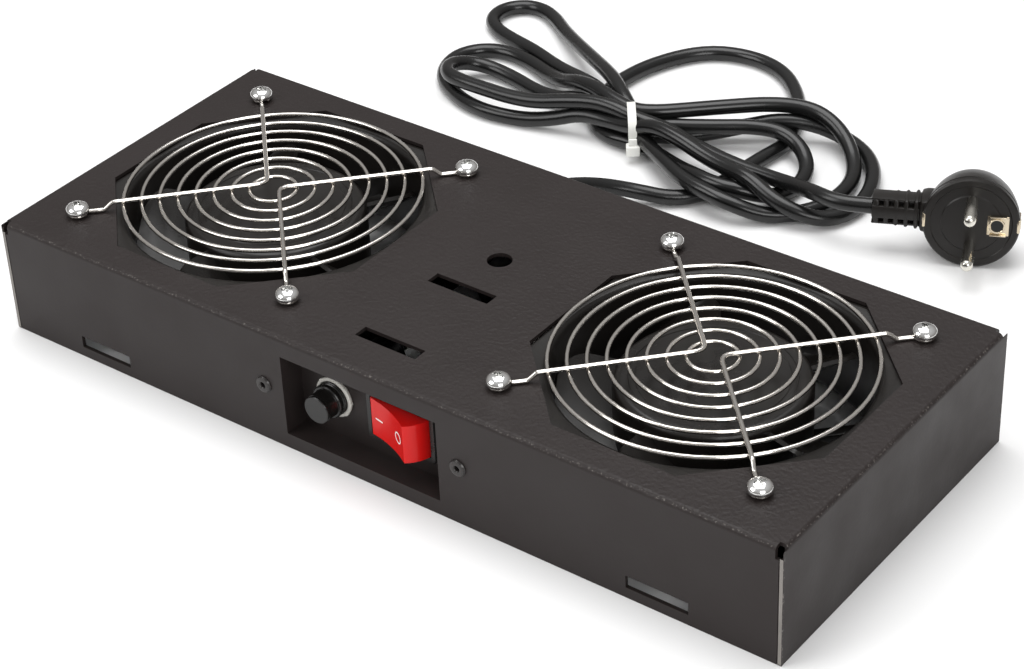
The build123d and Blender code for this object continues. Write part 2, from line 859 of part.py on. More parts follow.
def make_guards():
    """Both welded wire guards: flat rings under two bent spoke wires with eyelets."""
    half_pitch = screw_pitch / 2
    ring_top = tray_height + spoke_lift - spoke_wire / 2
    bends = [joggle_radius, joggle_radius, spoke_bend_radius, joggle_radius, joggle_radius]
    with BuildPart() as guards:
        for x in fan_places.values():
            with BuildSketch(Plane.XY.offset(ring_top - ring_wire)) as rings:
                with Locations((x, 0)):
                    for number in range(guard_rings):
                        radius = outer_ring_radius - ring_step * number
                        sides = outer_ring_sides if number < guard_rings / 2 else inner_ring_sides
                        RegularPolygon(radius + ring_wire / 2, sides)
                        RegularPolygon(radius - ring_wire / 2, sides, mode=Mode.SUBTRACT)
            extrude(amount=ring_wire)
            with BuildSketch(Plane.XY.offset(tray_height)) as eyelets:
                with Locations((x, 0)):
                    with GridLocations(screw_pitch, screw_pitch, 2, 2):
                        RegularPolygon(eyelet_radius, bolt_sides)
                        RegularPolygon(eyelet_bore_radius, bolt_sides, mode=Mode.SUBTRACT)
            extrude(amount=spoke_wire)
            for side in (-1, 1):
                route = spoke_path(
                    (x, 0),
                    (side * spoke_bend_offset, 0),
                    (side * half_pitch, -half_pitch),
                    (side * half_pitch, half_pitch),
                )
                with BuildLine() as path:
                    rail = FilletPolyline(*route, radius=bends)
                along = rail % 0
                start = Plane(origin=rail @ 0, x_dir=(-along.Y, along.X, 0), z_dir=along)
                with BuildSketch(start) as wire:
                    Rectangle(spoke_wire, spoke_wire)
                sweep(path=rail)
    return guards.part


def make_screws():
    """Eight machine screws that clamp the guards, the plate and the fans together."""
    seat = tray_height + spoke_wire
    with BuildPart() as screws:
        for x in fan_places.values():
            with BuildSketch(Plane.XY.offset(seat)) as heads:
                with Locations((x, 0)):
                    with GridLocations(screw_pitch, screw_pitch, 2, 2):
                        RegularPolygon(screw_head_radius, fastener_sides)
            extrude(amount=screw_head_height)
        rims = screws.faces().group_by(Axis.Z)[-1].edges()
        chamfer(rims, screw_head_height - screw_head_rim, screw_head_radius / 3)
        for x in fan_places.values():
            with BuildSketch(Plane.XY.offset(seat)) as shanks:
                with Locations((x, 0)):
                    with GridLocations(screw_pitch, screw_pitch, 2, 2):
                        RegularPolygon(screw_radius, bolt_sides)
            extrude(amount=-screw_length)
    return screws.part


def make_nuts():
    """Eight hexagon nuts under the fans' upper flanges."""
    with BuildPart() as nuts:
        for x in fan_places.values():
            with BuildSketch(Plane.XY.offset(plate_under - fan_flange)) as hexagons:
                with Locations((x, 0)):
                    with GridLocations(screw_pitch, screw_pitch, 2, 2):
                        RegularPolygon(nut_flats / 2, 6, major_radius=False)
                        RegularPolygon(
                            screw_radius + thread_clearance,
                            bolt_sides,
                            mode=Mode.SUBTRACT,
                        )
            extrude(amount=-nut_height)
    return nuts.part


def make_gland():
    """Moulded strain relief: a tapered boot, a flange and the threaded neck inside."""
    boot_run = boot_length - gland_flange_height
    with BuildPart() as gland:
        with BuildSketch(gland_seat) as neck:
            RegularPolygon(gland_hole_radius - gland_clearance, inner_sides)
        extrude(amount=-(sheet + gland_inner_length))
        with BuildSketch(gland_seat) as flange:
            RegularPolygon(gland_flange_radius, inner_sides)
        extrude(amount=gland_flange_height)
        with BuildSketch(gland_seat.offset(gland_flange_height)) as boot:
            RegularPolygon(boot_root_radius, inner_sides, major_radius=False)
        extrude(amount=boot_run, taper=lean(boot_root_radius - boot_tip_radius, boot_run))
    return gland.part


def make_lock_nut():
    """Flat hexagon nut that holds the gland from inside the back wall."""
    with BuildPart() as nut:
        with BuildSketch(gland_seat.offset(-sheet)) as hexagon:
            RegularPolygon(lock_nut_flats / 2, 6, major_radius=False)
            thread_radius = gland_hole_radius - gland_clearance + thread_clearance
            RegularPolygon(thread_radius, inner_sides, mode=Mode.SUBTRACT)
        extrude(amount=-lock_nut_height)
    return nut.part


def tie_plane(shift):
    """Plane across the bundle at the tie, moved along the bundle by a shift."""
    axis = Vector(cos(radians(bundle_heading)), sin(radians(bundle_heading)), 0)
    side = Vector(-axis.Y, axis.X, 0)
    middle = Vector(*bundle_centre, tie_bottom + tie_thickness + tie_inner_height / 2)
    return Plane(origin=middle + axis * shift, x_dir=side, z_dir=axis)


def make_hank(lead_end, lead_way, tail_end, tail_way):
    """Closed outer shape of the tied hank, with flat faces where the lead runs on."""
    bundle_plane = Plane(Location((*bundle_centre, 0), (0, 0, bundle_heading)))
    head_x = -(tie_inner_width + tie_head[1]) / 2
    with BuildPart() as hank:
        with BuildSketch(Plane.XY) as floor_shape:
            with BuildLine() as outline:
                Polyline(*hank_outline, close=True)
            make_face()
        extrude(amount=hank_height)
        with BuildSketch(bundle_plane) as bundle:
            Rectangle(bundle_length, bundle_width)
        extrude(amount=bundle_height)
        long_edges = hank.edges().group_by(Axis.Z)[-1].sort_by(SortBy.LENGTH)[-2:]
        chamfer(long_edges, bundle_width / 4)
        way = Plane(origin=(tail_end.X, tail_end.Y, 0), x_dir=tail_way, z_dir=(0, 0, 1))
        with BuildSketch(way) as tail_block:
            Rectangle(tail_block_length, tail_block_width, align=(Align.MIN, Align.CENTER))
        extrude(amount=tail_end.Z + cord_diameter / 2)
        with BuildSketch(Plane(origin=lead_end, z_dir=lead_way * -1)) as lead_notch:
            Rectangle(2 * hank_height, 3 * hank_height)
        extrude(amount=hank_height, mode=Mode.SUBTRACT)
        gap = tie_clearance
        with BuildSketch(tie_plane(-tie_width / 2 - gap)) as groove:
            Rectangle(tie_inner_width + 2 * (tie_thickness + gap), 4 * bundle_height)
            with BuildSketch(mode=Mode.SUBTRACT) as core:
                Rectangle(tie_inner_width - 2 * gap, tie_inner_height - 2 * gap)
                chamfer(core.vertices(), tie_corner - tie_thickness / 2)
        extrude(amount=tie_width + 2 * gap, mode=Mode.SUBTRACT)
        with BuildSketch(tie_plane(-tie_head[0] / 2 - gap)) as head_pocket:
            with Locations((head_x, tie_head_height)):
                Rectangle(tie_head[1] + 2 * gap, tie_head[2] + 2 * gap)
        extrude(amount=tie_head[0] + 2 * gap, mode=Mode.SUBTRACT)
    return hank.part


def make_tie():
    """Cable tie: a flat strap round the bundle and the square head that locks it."""
    head_x = -(tie_inner_width + tie_head[1]) / 2
    with BuildPart() as tie:
        with BuildSketch(tie_plane(-tie_width / 2)) as strap:
            Rectangle(tie_inner_width + 2 * tie_thickness, tie_inner_height + 2 * tie_thickness)
            chamfer(strap.vertices(), tie_corner)
            with BuildSketch(mode=Mode.SUBTRACT) as opening:
                Rectangle(tie_inner_width, tie_inner_height)
                chamfer(opening.vertices(), tie_corner - tie_thickness / 2)
        extrude(amount=tie_width)
        with BuildSketch(tie_plane(-tie_head[0] / 2)) as head:
            with Locations((head_x, tie_head_height)):
                Rectangle(tie_head[1], tie_head[2])
        extrude(amount=tie_head[0])
    return tie.part


# The plug lies on the edge of its disc: its pins point out to the front and a
# little up, and its cord leaves sideways at a right angle to them
turn = radians(plug_heading)
tilt = radians(plug_tilt)
pins_way = Vector(sin(turn) * cos(tilt), -cos(turn) * cos(tilt), sin(tilt))
cord_way = Vector(-cos(turn), -sin(turn), 0)
plug_face = Plane(origin=plug_origin, x_dir=cord_way, z_dir=pins_way)
plug_back = Plane(origin=plug_origin, x_dir=cord_way, z_dir=pins_way * -1)
cord_plane = Plane(
    origin=Vector(*plug_origin) - pins_way * cord_depth,
    x_dir=pins_way,
    z_dir=cord_way,
)


def make_plug_body():
    """Moulded angled plug: a disc that tapers to its back, and a side collar."""
    bands = (
        (0.0, plug_radius),
        (plug_barrel, plug_barrel_radius),
        ((plug_barrel + plug_depth) / 2, plug_shoulder_radius),
        (plug_depth, plug_back_radius),
    )
    with BuildPart() as body:
        for (start, radius), (end, next_radius) in zip(bands, bands[1:]):
            with BuildSketch(plug_back.offset(start)) as band:
                RegularPolygon(radius, plug_sides, major_radius=False)
            extrude(amount=end - start, taper=lean(radius - next_radius, end - start))
        ends = body.faces().sort_by(Axis(plug_face.origin, plug_face.z_dir))
        chamfer(ends[-1].edges() + ends[0].edges(), plug_edge)
        with BuildSketch(cord_plane) as collar:
            Rectangle(collar_width, collar_height)
            chamfer(collar.vertices(), collar_height / 5)
        extrude(amount=collar_reach)
        with BuildSketch(plug_face) as clip_recesses:
            with Locations((-plug_radius, 0), (plug_radius, 0)):
                Rectangle(2 * clip_recess, clip_width + 2 * pin_fit)
        extrude(amount=-clip_length, mode=Mode.SUBTRACT)
        with BuildSketch(plug_face) as pin_holes:
            with Locations((0, -pin_pitch / 2), (0, pin_pitch / 2)):
                Circle(pin_radius + pin_fit)
        extrude(amount=-pin_root, mode=Mode.SUBTRACT)
        with BuildSketch(plug_face) as socket_hole:
            with Locations((-earth_socket_offset, 0)):
                RegularPolygon(earth_socket_radius + pin_fit, fastener_sides)
        extrude(amount=-earth_socket_depth, mode=Mode.SUBTRACT)
    return body.part


def make_plug_pins():
    """Two round contact pins."""
    with BuildPart() as pins:
        with BuildSketch(plug_face.offset(-pin_root)) as bars:
            with Locations((0, -pin_pitch / 2), (0, pin_pitch / 2)):
                Circle(pin_radius)
        extrude(amount=pin_root + pin_length)
    return pins.part


def make_earth_contacts():
    """Female earth socket in the face, and the two side clips in their recesses."""
    with BuildPart() as contacts:
        with BuildSketch(plug_face.offset(-earth_socket_depth)) as socket:
            with Locations((-earth_socket_offset, 0)):
                RegularPolygon(earth_socket_radius, fastener_sides)
                RegularPolygon(earth_bore_radius, fastener_sides, mode=Mode.SUBTRACT)
        extrude(amount=earth_socket_depth)
        with BuildSketch(plug_face.offset(-clip_length)) as clips:
            seat = plug_radius - clip_recess + clip_thickness / 2
            with Locations((-seat, 0), (seat, 0)):
                Rectangle(clip_thickness, clip_width)
        extrude(amount=clip_length)
    return contacts.part


def make_plug_relief():
    """Bending relief: a tapered sleeve with cross slots above and below the cord."""
    with BuildPart() as relief:
        with BuildSketch(cord_plane.offset(collar_reach)) as root:
            Rectangle(relief_width, relief_height)
            chamfer(root.vertices(), relief_height / 5)
        run = relief_reach - collar_reach
        extrude(amount=run, taper=lean(relief_inset, run))
        for number in range(relief_slots):
            place = collar_reach + relief_slot_start + relief_slot_pitch * number
            with BuildSketch(cord_plane.offset(place)) as slots:
                with GridLocations(0, 2 * (cord_diameter / 2 + relief_slot_depth), 1, 2):
                    Rectangle(relief_width - 2 * relief_slot_wall, 2 * relief_slot_depth)
            extrude(amount=relief_slot_width, mode=Mode.SUBTRACT)
    return relief.part


# Wiring inside the housing: each route starts and ends on the face it is joined to
tab_end_y = pocket_face + switch_depth + tab_reach
low_tab_z = switch_z - tab_pitch_z / 2
high_tab_z = switch_z + tab_pitch_z / 2
left_tab_x = switch_x - tab_pitch_x / 2
right_tab_x = switch_x + tab_pitch_x / 2
fan_side_x = fan_spacing / 2 - fan_size / 2
lead_exit_z = fan_bottom + fan_flange / 2
fuse_tab_end_y = pocket_face + barrel_length + tab_reach
wiring_routes = {
    "supply_wires": (
        supply_wire_radius,
        [
            (gland_x, back_inside - gland_inner_length, gland_z),
            (gland_x, 54, gland_z),
            (-32, 36, 18),
            (-12, 18, 17),
            (8, 4, 18),
            (right_tab_x, -14, low_tab_z),
            (right_tab_x, tab_end_y, low_tab_z),
        ],
    ),
    "left_fan_wires": (
        fan_wire_radius,
        [
            (-fan_side_x, fan_lead_y, lead_exit_z),
            (-30, fan_lead_y, lead_exit_z),
            (-15, -7, 13),
            (-3, -10, 17),
            (left_tab_x, -20, low_tab_z),
            (left_tab_x, tab_end_y, low_tab_z),
        ],
    ),
    "right_fan_wires": (
        fan_wire_radius,
        [
            (fan_side_x, fan_lead_y, lead_exit_z),
            (30, fan_lead_y, lead_exit_z),
            (18, 0, 17),
            (2, 7, 24),
            (-12, 4, 26),
            (fuse_x, -8, fuse_z),
            (fuse_x, fuse_tab_end_y, fuse_z),
        ],
    ),
}

save(make_housing(), "tray_housing")
save(make_pocket(), "control_pocket")
save(make_rivets(), "pocket_rivets")
save(make_switch_housing(), "switch_housing")
save(make_rocker(), "switch_rocker")
save(make_switch_tabs(), "switch_terminals")
save(make_fuse_barrel(), "fuse_holder_barrel")
save(make_ring_nut(), "fuse_holder_ring_nut")
save(make_fuse_cap(), "fuse_cap")
save(make_fuse_carrier(), "fuse_carrier")
fuse_caps, fuse_glass = make_fuse()
save(fuse_caps, "fuse_end_caps")
save(fuse_glass, "fuse_glass")
save(make_fuse_tabs(), "fuse_holder_terminals")
for side, x in fan_places.items():
    save(make_fan_frame(x), side + "_fan_frame")
    save(make_stator(x), side + "_fan_stator")
    save(make_impeller(x), side + "_impeller")
    save(make_rotor_cup(x), side + "_rotor_cup")
    save(make_shaft(x), side + "_rotor_shaft")
save(make_bearings(), "fan_bearings")
save(make_guards(), "finger_guards")
save(make_screws(), "guard_screws")
save(make_nuts(), "guard_nuts")
save(make_gland(), "cord_gland")
save(make_lock_nut(), "gland_lock_nut")
for name, (radius, route) in wiring_routes.items():
    wires, radii, length = tube_along(route, radius, wire_sides)
    print(name, "arc radii", [round(value, 1) for value in radii])
    save(wires, name)
lead, lead_radii, lead_length = tube_along(lead_route, cord_diameter / 2, cord_sides)
tail_start = cord_plane.offset(relief_reach).origin
tail_route = [tail_start, tail_start + cord_way * tail_first_run, Vector(*tail_end, tail_start.Z)]
tail, tail_radii, tail_length = tube_along(tail_route, cord_diameter / 2, cord_sides)
print("lead arc radii", [round(value, 1) for value in lead_radii], "length", round(lead_length, 1))
print("tail arc radii", [round(value, 1) for value in tail_radii], "length", round(tail_length, 1))
section = cord_sides / 2 * (cord_diameter / 2) ** 2 * sin(radians(360 / cord_sides))
print("lead volume share", round(lead.volume / section / lead_length, 4))
print("tail volume share", round(tail.volume / section / tail_length, 4))
save(lead, "cord_lead")
save(tail, "cord_tail")
lead_way = (Vector(*lead_route[-1]) - Vector(*lead_route[-2])).normalized()
tail_way = (tail_route[-1] - tail_route[-2]).normalized()
hank = make_hank(Vector(*lead_route[-1]), lead_way, tail_route[-1], tail_way)
save(hank, "cord_hank")
save(make_tie(), "cable_tie")
save(make_plug_body(), "plug_body")
save(make_plug_pins(), "plug_pins")
save(make_earth_contacts(), "plug_earth_contacts")
save(make_plug_relief(), "plug_strain_relief")
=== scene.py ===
from math import cos, pi, radians, sin, sqrt, tan

import bmesh
import bpy
from mathutils import Matrix, Vector


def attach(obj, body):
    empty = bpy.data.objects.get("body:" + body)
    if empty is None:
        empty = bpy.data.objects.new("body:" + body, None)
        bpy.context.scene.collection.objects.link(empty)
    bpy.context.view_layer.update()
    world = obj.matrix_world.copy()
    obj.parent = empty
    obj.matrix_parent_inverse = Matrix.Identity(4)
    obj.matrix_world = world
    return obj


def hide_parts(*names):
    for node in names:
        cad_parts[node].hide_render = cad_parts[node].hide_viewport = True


MM = 0.001
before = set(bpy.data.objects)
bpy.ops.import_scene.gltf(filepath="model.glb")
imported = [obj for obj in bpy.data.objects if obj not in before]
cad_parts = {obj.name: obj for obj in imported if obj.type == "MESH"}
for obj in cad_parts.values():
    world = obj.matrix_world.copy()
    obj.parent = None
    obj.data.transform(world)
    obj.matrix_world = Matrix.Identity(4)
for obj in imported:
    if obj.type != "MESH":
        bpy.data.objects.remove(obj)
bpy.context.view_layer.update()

# Camera: fitted to the edges of the housing and the fan screws, at the photograph's angle.
# The three columns are its right, up and backward directions in the row frame.
camera_data = bpy.data.cameras.new("camera")
camera_data.sensor_fit = "HORIZONTAL"
camera_data.sensor_width = 36.0
camera_data.lens = 92.96
camera_data.clip_start = 0.01
camera_data.clip_end = 20.0
camera = bpy.data.objects.new("camera", camera_data)
bpy.context.scene.collection.objects.link(camera)
camera.matrix_world = Matrix((
    (0.7985, -0.3151, 0.5130, 0.5067),
    (0.6007, 0.4731, -0.6444, -0.6207),
    (-0.0397, 0.8227, 0.5671, 0.5722),
    (0.0, 0.0, 0.0, 1.0),
))
bpy.context.scene.camera = camera


def paint(
    name, colour, rough, metal=0.0, grain=900.0, relief=0.1, vary=0.12, coat=0.0, spread=0.08,
    shine=0.5,
):
    """A finish whose colour, roughness and relief vary with noise on object coordinates."""
    mat = bpy.data.materials.new(name)
    mat.use_nodes = True
    nodes, links = mat.node_tree.nodes, mat.node_tree.links
    bsdf = nodes["Principled BSDF"]
    place = nodes.new("ShaderNodeTexCoord")
    fine = nodes.new("ShaderNodeTexNoise")
    fine.name = "fine"
    fine.inputs["Scale"].default_value = grain
    fine.inputs["Detail"].default_value = 3.0
    broad = nodes.new("ShaderNodeTexNoise")
    broad.name = "broad"
    broad.inputs["Scale"].default_value = grain / 18
    broad.inputs["Detail"].default_value = 4.0
    tint = nodes.new("ShaderNodeMix")
    tint.name = "tint"
    tint.data_type = "RGBA"
    tint.inputs["A"].default_value = (*[c * (1 - vary) for c in colour], 1)
    tint.inputs["B"].default_value = (*[min(1, c * (1 + vary)) for c in colour], 1)
    gloss = nodes.new("ShaderNodeMapRange")
    gloss.inputs["From Min"].default_value = 0.3
    gloss.inputs["From Max"].default_value = 0.7
    gloss.inputs["To Min"].default_value = max(0.02, rough - spread)
    gloss.inputs["To Max"].default_value = min(1.0, rough + spread)
    bump = nodes.new("ShaderNodeBump")
    bump.inputs["Strength"].default_value = relief
    bump.inputs["Distance"].default_value = 0.3 * MM
    links.new(place.outputs["Object"], fine.inputs["Vector"])
    links.new(place.outputs["Object"], broad.inputs["Vector"])
    links.new(broad.outputs["Fac"], tint.inputs["Factor"])
    links.new(tint.outputs["Result"], bsdf.inputs["Base Color"])
    links.new(broad.outputs["Fac"], gloss.inputs["Value"])
    links.new(gloss.outputs["Result"], bsdf.inputs["Roughness"])
    links.new(fine.outputs["Fac"], bump.inputs["Height"])
    links.new(bump.outputs["Normal"], bsdf.inputs["Normal"])
    bsdf.inputs["Metallic"].default_value = metal
    bsdf.inputs["Coat Weight"].default_value = coat
    bsdf.inputs["Specular IOR Level"].default_value = shine
    return mat


def keep(obj, mat, body="tray", replaces=()):
    """Give a finished piece its finish, the body it rides on and the nodes it stands for."""
    if obj.name not in bpy.context.scene.collection.objects:
        bpy.context.scene.collection.objects.link(obj)
    obj.data.materials.clear()
    obj.data.materials.append(mat)
    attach(obj, body)
    if replaces:
        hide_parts(*replaces)
    return obj


# Mains lead: one spline from the boot in the back wall, seven times through the cable tie with
# loops at both ends, and out to the plug. It lies on the floor and on itself.
CORD_RADIUS = 3.25
EXIT_X, EXIT_Y, EXIT_Z = -44, 85.5, 18
cord_mat = paint(
    "cord_cover", (0.006, 0.006, 0.006), 0.26, grain=500.0, relief=0.04, coat=0.1, shine=0.4
)
cord_route = [
    (EXIT_X, EXIT_Y, EXIT_Z), (EXIT_X, 97, EXIT_Z), (-43, 108, 15.5), (-39.5, 118.5, 12),
    (-33, 127.5, 8.5),
    (-24.5, 134.3, 5.5), (-14, 139, 3.7), (-6.5, 145.5, 3.3), (-2.5, 156, 3.3), (-1, 168, 3.3),
    (1, 186, 3.3), (4, 204, 3.3), (-3, 222, 3.3), (-13, 239, 3.3), (-30, 255, 3.3),
    (-50, 259, 3.3), (-70, 252, 3.3), (-83, 230, 3.3), (-87, 207, 3.3), (-84, 188, 3.3),
    (-76, 174, 3.3), (-64, 166, 3.6), (-50, 166.5, 4.7),
    (-38, 164.5, 5), (-21, 157, 7), (-8, 151.5, 10), (2, 149.8, 10.2), (12, 152, 9.5),
    (20, 158.5, 6), (24.5, 167, 3.6), (25.5, 178, 3.3), (22, 190, 4), (13.5, 198, 7.5),
    (2, 200.5, 10.2), (-10, 196.5, 10.5), (-21, 189.5, 10.3), (-34, 182, 10), (-46, 176, 10),
    (-56, 176.5, 10.5), (-65, 182, 14.5), (-78, 192.5, 15.5), (-100, 208, 11), (-130, 229, 5),
    (-144, 240, 3.8), (-154.5, 244.8, 3.3), (-164, 243.2, 3.3), (-170.6, 234.6, 3.3),
    (-169.2, 224, 3.3), (-160.6, 217.4, 3.3), (-150, 214, 3.3), (-134, 210.5, 3.3),
    (-115, 203, 3.6), (-97, 196, 7),
    (-83, 188.5, 10.3), (-71, 181, 10.6), (-62, 173.5, 10.3), (-53, 169.5, 9.9),
    (-41, 163.5, 8.6), (-25, 153.5, 10), (-11, 146, 10), (3, 142.8, 10), (15, 143.3, 8),
    (26.5, 149, 3.6), (36, 157.5, 3.3), (42.5, 169, 3.3), (43.5, 186, 3.3), (38.5, 200, 3.5),
    (30, 210, 7), (19, 215.5, 12), (7, 216.5, 15), (-8, 210.5, 15.5), (-24, 198, 15),
    (-36, 187, 15), (-45.5, 178.5, 15), (-54.5, 174, 15), (-65, 175, 16.3), (-77, 179, 16.6),
    (-90, 183.5, 14), (-102, 188.5, 8), (-115, 195.5, 4), (-131, 202, 3.3),
    (-146, 203, 3.3), (-156, 198, 3.3), (-161, 188, 3.3), (-159, 176.5, 3.3),
    (-152, 167, 3.3), (-141, 160.5, 3.3), (-130, 156.5, 3.3), (-117, 155.5, 3.3),
    (-101, 159, 3.3),
    (-88, 163, 6), (-77, 167, 10), (-64, 167.5, 10.5), (-49.5, 165.6, 12.3),
    (-38, 165.5, 17), (-24, 163, 16.5), (-10, 160.5, 14), (3, 158, 13.5), (15, 155, 15),
    (27, 152.5, 10.5), (38, 153, 7.5), (47, 158, 4.2), (53, 167.5, 3.3), (54, 181, 3.3),
    (49, 198, 3.3), (38.5, 212, 3.3), (24, 219.5, 3.5), (10, 216.5, 8), (-3, 209, 10),
    (-16, 201.5, 6.5), (-28, 192, 3.6), (-40, 181, 3.6), (-49, 174.5, 4.5), (-58, 173, 4.7),
    (-68, 175, 5.5), (-78, 177.5, 9.9), (-89, 178.5, 8.5), (-101, 179.8, 4),
    (-114, 182, 3.3), (-128, 186, 3.3), (-142, 186.5, 4.5), (-150.2, 180.3, 7),
    (-151.5, 170, 10), (-145.3, 161.8, 10.8), (-135, 160.5, 10.8), (-124, 160.5, 10.8),
    (-110, 160.5, 11), (-97, 162, 12),
    (-85, 165.5, 14.5), (-72, 168.5, 16.8), (-61, 169, 17), (-51, 169.2, 15),
    (-36, 172, 13), (-21, 170, 10.5), (0, 167, 10), (16, 166.5, 10), (29, 165, 11.2),
    (39, 160.5, 14.5), (47, 156, 17.3), (54.9, 154.2, 18), (62.7, 155.9, 18),
    (69.96, 159.28, 18),
]


def nurbs_tube(name, routes, radius, close=False, sides=5, finer=4):
    """Smooth tubes of one radius along routes of control points in mm."""
    data = bpy.data.curves.new(name, "CURVE")
    data.dimensions = "3D"
    data.bevel_depth = radius * MM
    data.bevel_resolution = sides
    data.use_fill_caps = True
    for route in routes:
        line = data.splines.new("NURBS")
        line.points.add(len(route) - 1)
        for point, place in zip(line.points, route):
            point.co = (place[0] * MM, place[1] * MM, place[2] * MM, 1)
        line.use_cyclic_u = close
        line.order_u = 3
        line.use_endpoint_u = not close
        line.resolution_u = finer
    return bpy.data.objects.new(name, data)


cord = nurbs_tube("mains_lead", [cord_route], CORD_RADIUS, sides=7, finer=5)
keep(cord, cord_mat, replaces=("cord_lead", "cord_tail", "cord_hank"))


def at(x, y, z):
    """A placement moved to a point in mm."""
    return Matrix.Translation((x * MM, y * MM, z * MM))


def lane(origin, x_way, z_way):
    """A placement with its X and Z axes along two square directions."""
    x_way, z_way = Vector(x_way).normalized(), Vector(z_way).normalized()
    y_way = z_way.cross(x_way)
    turned = Matrix((x_way, y_way, z_way)).transposed().to_4x4()
    return at(*origin) @ turned


def add_lathe(mesh_data, profile, place, steps=48):
    """Spin a profile of (radius, height) points, in mm, about the Z axis of a placement."""
    verts = [mesh_data.verts.new(place @ Vector((r * MM, 0, h * MM))) for r, h in profile]
    edges = [mesh_data.edges.new(pair) for pair in zip(verts, verts[1:])]
    centre = place.translation
    axis = (place.to_3x3() @ Vector((0, 0, 1))).normalized()
    bmesh.ops.spin(
        mesh_data,
        geom=verts + edges,
        cent=centre,
        axis=axis,
        angle=2 * pi,
        steps=steps,
        use_merge=True,
    )


def from_bmesh(name, mesh_data, smooth=True):
    """Turn a finished bmesh into an object with clean normals."""
    bmesh.ops.remove_doubles(mesh_data, verts=mesh_data.verts, dist=0.002 * MM)
    bmesh.ops.recalc_face_normals(mesh_data, faces=mesh_data.faces)
    mesh = bpy.data.meshes.new(name)
    mesh_data.to_mesh(mesh)
    mesh_data.free()
    if smooth:
        mesh.shade_smooth()
        mesh.set_sharp_from_angle(angle=radians(34))
    return bpy.data.objects.new(name, mesh)


# Strain relief boot in the back wall: a shank through the wall, a flange, and five ribs that
# taper along the lead. It stands for the CAD gland.
BACK_WALL = 72.5
FLANGE_RADIUS, SHANK_RADIUS, SHANK_DEPTH = 8, 5.3, 7.5
RIB_COUNT, RIB_STEP, RIB_LENGTH = 5, 3.4, 2.2
FIRST_RIB, FIRST_RIB_RADIUS, RIB_TAPER = 3.0, 6.1, 0.36
BOOT_LENGTH = 24.5
boot_mat = paint(
    "boot_cover", (0.008, 0.0075, 0.007), 0.40, grain=700.0, relief=0.06, shine=0.35
)
boot_profile = [
    (0, -SHANK_DEPTH), (SHANK_RADIUS, -SHANK_DEPTH), (SHANK_RADIUS, 0),
    (FLANGE_RADIUS - 0.4, 0), (FLANGE_RADIUS, 0.4), (FLANGE_RADIUS, 1.6),
    (FLANGE_RADIUS - 0.4, 2), (6.2, 2),
]
for rib in range(RIB_COUNT):
    start = FIRST_RIB + rib * RIB_STEP
    wide = FIRST_RIB_RADIUS - rib * RIB_TAPER
    boot_profile += [
        (wide, start), (wide, start + RIB_LENGTH),
        (wide - 0.8, start + RIB_LENGTH + 0.1), (wide - 0.9, start + RIB_STEP - 0.2),
    ]
boot_profile += [
    (4.3, 20.5), (4.1, BOOT_LENGTH - 0.5), (3.7, BOOT_LENGTH),
    (CORD_RADIUS + 0.05, BOOT_LENGTH),
]
boot_mesh = bmesh.new()
add_lathe(boot_mesh, boot_profile, lane((EXIT_X, BACK_WALL, EXIT_Z), (-1, 0, 0), (0, 1, 0)), 40)
boot = keep(
    from_bmesh("lead_boot", boot_mesh), boot_mat, replaces=("cord_gland",)
)


def add_box(mesh_data, place, size, edge=0.0):
    """A box of a size in mm about a placement, with its edges rounded when asked."""
    scale = Matrix.Diagonal((*[s * MM for s in size], 1))
    made = bmesh.ops.create_cube(mesh_data, size=1.0, matrix=place @ scale)["verts"]
    if edge:
        edges = list({e for v in made for e in v.link_edges})
        bmesh.ops.bevel(
            mesh_data,
            geom=edges,
            offset=edge * MM,
            affect="EDGES",
            segments=2,
            profile=0.5,
            material=-1,
        )


# Cable tie: a flat nylon strap round the seven strands, and its square head with the cut end of
# the strap beside it.
nylon_mat = paint("white_nylon", (0.80, 0.80, 0.76), 0.35, grain=800.0, relief=0.05, vary=0.04)
TIE_CENTRE, TIE_HEADING = (-52.5, 169.5, 9.9), radians(37)
HALF_WIDE, HALF_TALL, STRAP_CORNER = 10.1, 9.1, 6.0
STRAP_HALF, STRAP_THICK = 1.8, 1.0
CORNER_SIGNS = ((1, 1, 0), (-1, 1, 90), (-1, -1, 180), (1, -1, 270))
tie_axis = Vector((cos(TIE_HEADING), sin(TIE_HEADING), 0))
tie_lane = lane(TIE_CENTRE, (-tie_axis.y, tie_axis.x, 0), tie_axis)
tie_mesh = bmesh.new()
ring_points = []
for cx, cy, start in CORNER_SIGNS:
    for step in range(7):
        turn = radians(start + 15 * step)
        ring_points.append((
            cx * (HALF_WIDE - STRAP_CORNER) + STRAP_CORNER * cos(turn),
            cy * (HALF_TALL - STRAP_CORNER) + STRAP_CORNER * sin(turn),
        ))
count = len(ring_points)
loops = []
for inset, z in (
    (0.0, -STRAP_HALF), (0.0, STRAP_HALF), (STRAP_THICK, STRAP_HALF), (STRAP_THICK, -STRAP_HALF)
):
    loop = []
    for x, y in ring_points:
        far = sqrt(x * x + y * y)
        loop.append(tie_mesh.verts.new(tie_lane @ Vector((
            x * (1 - inset / far) * MM,
            y * (1 - inset / far) * MM,
            z * MM,
        ))))
    loops.append(loop)
for a, b in zip(loops, loops[1:] + loops[:1]):
    for i in range(count):
        j = (i + 1) % count
        tie_mesh.faces.new((a[i], a[j], b[j], b[i]))
TIE_HEAD, STRAP_END = (4.6, 4.4, 5.8), (1.1, 4.5, 3.4)
add_box(tie_mesh, tie_lane @ at(-12, -4, 0), TIE_HEAD, 0.5)
add_box(tie_mesh, tie_lane @ at(-12.4, -1, 0), STRAP_END, 0.2)
tie = keep(
    from_bmesh("cable_strap", tie_mesh), nylon_mat, replaces=("cable_tie",)
)

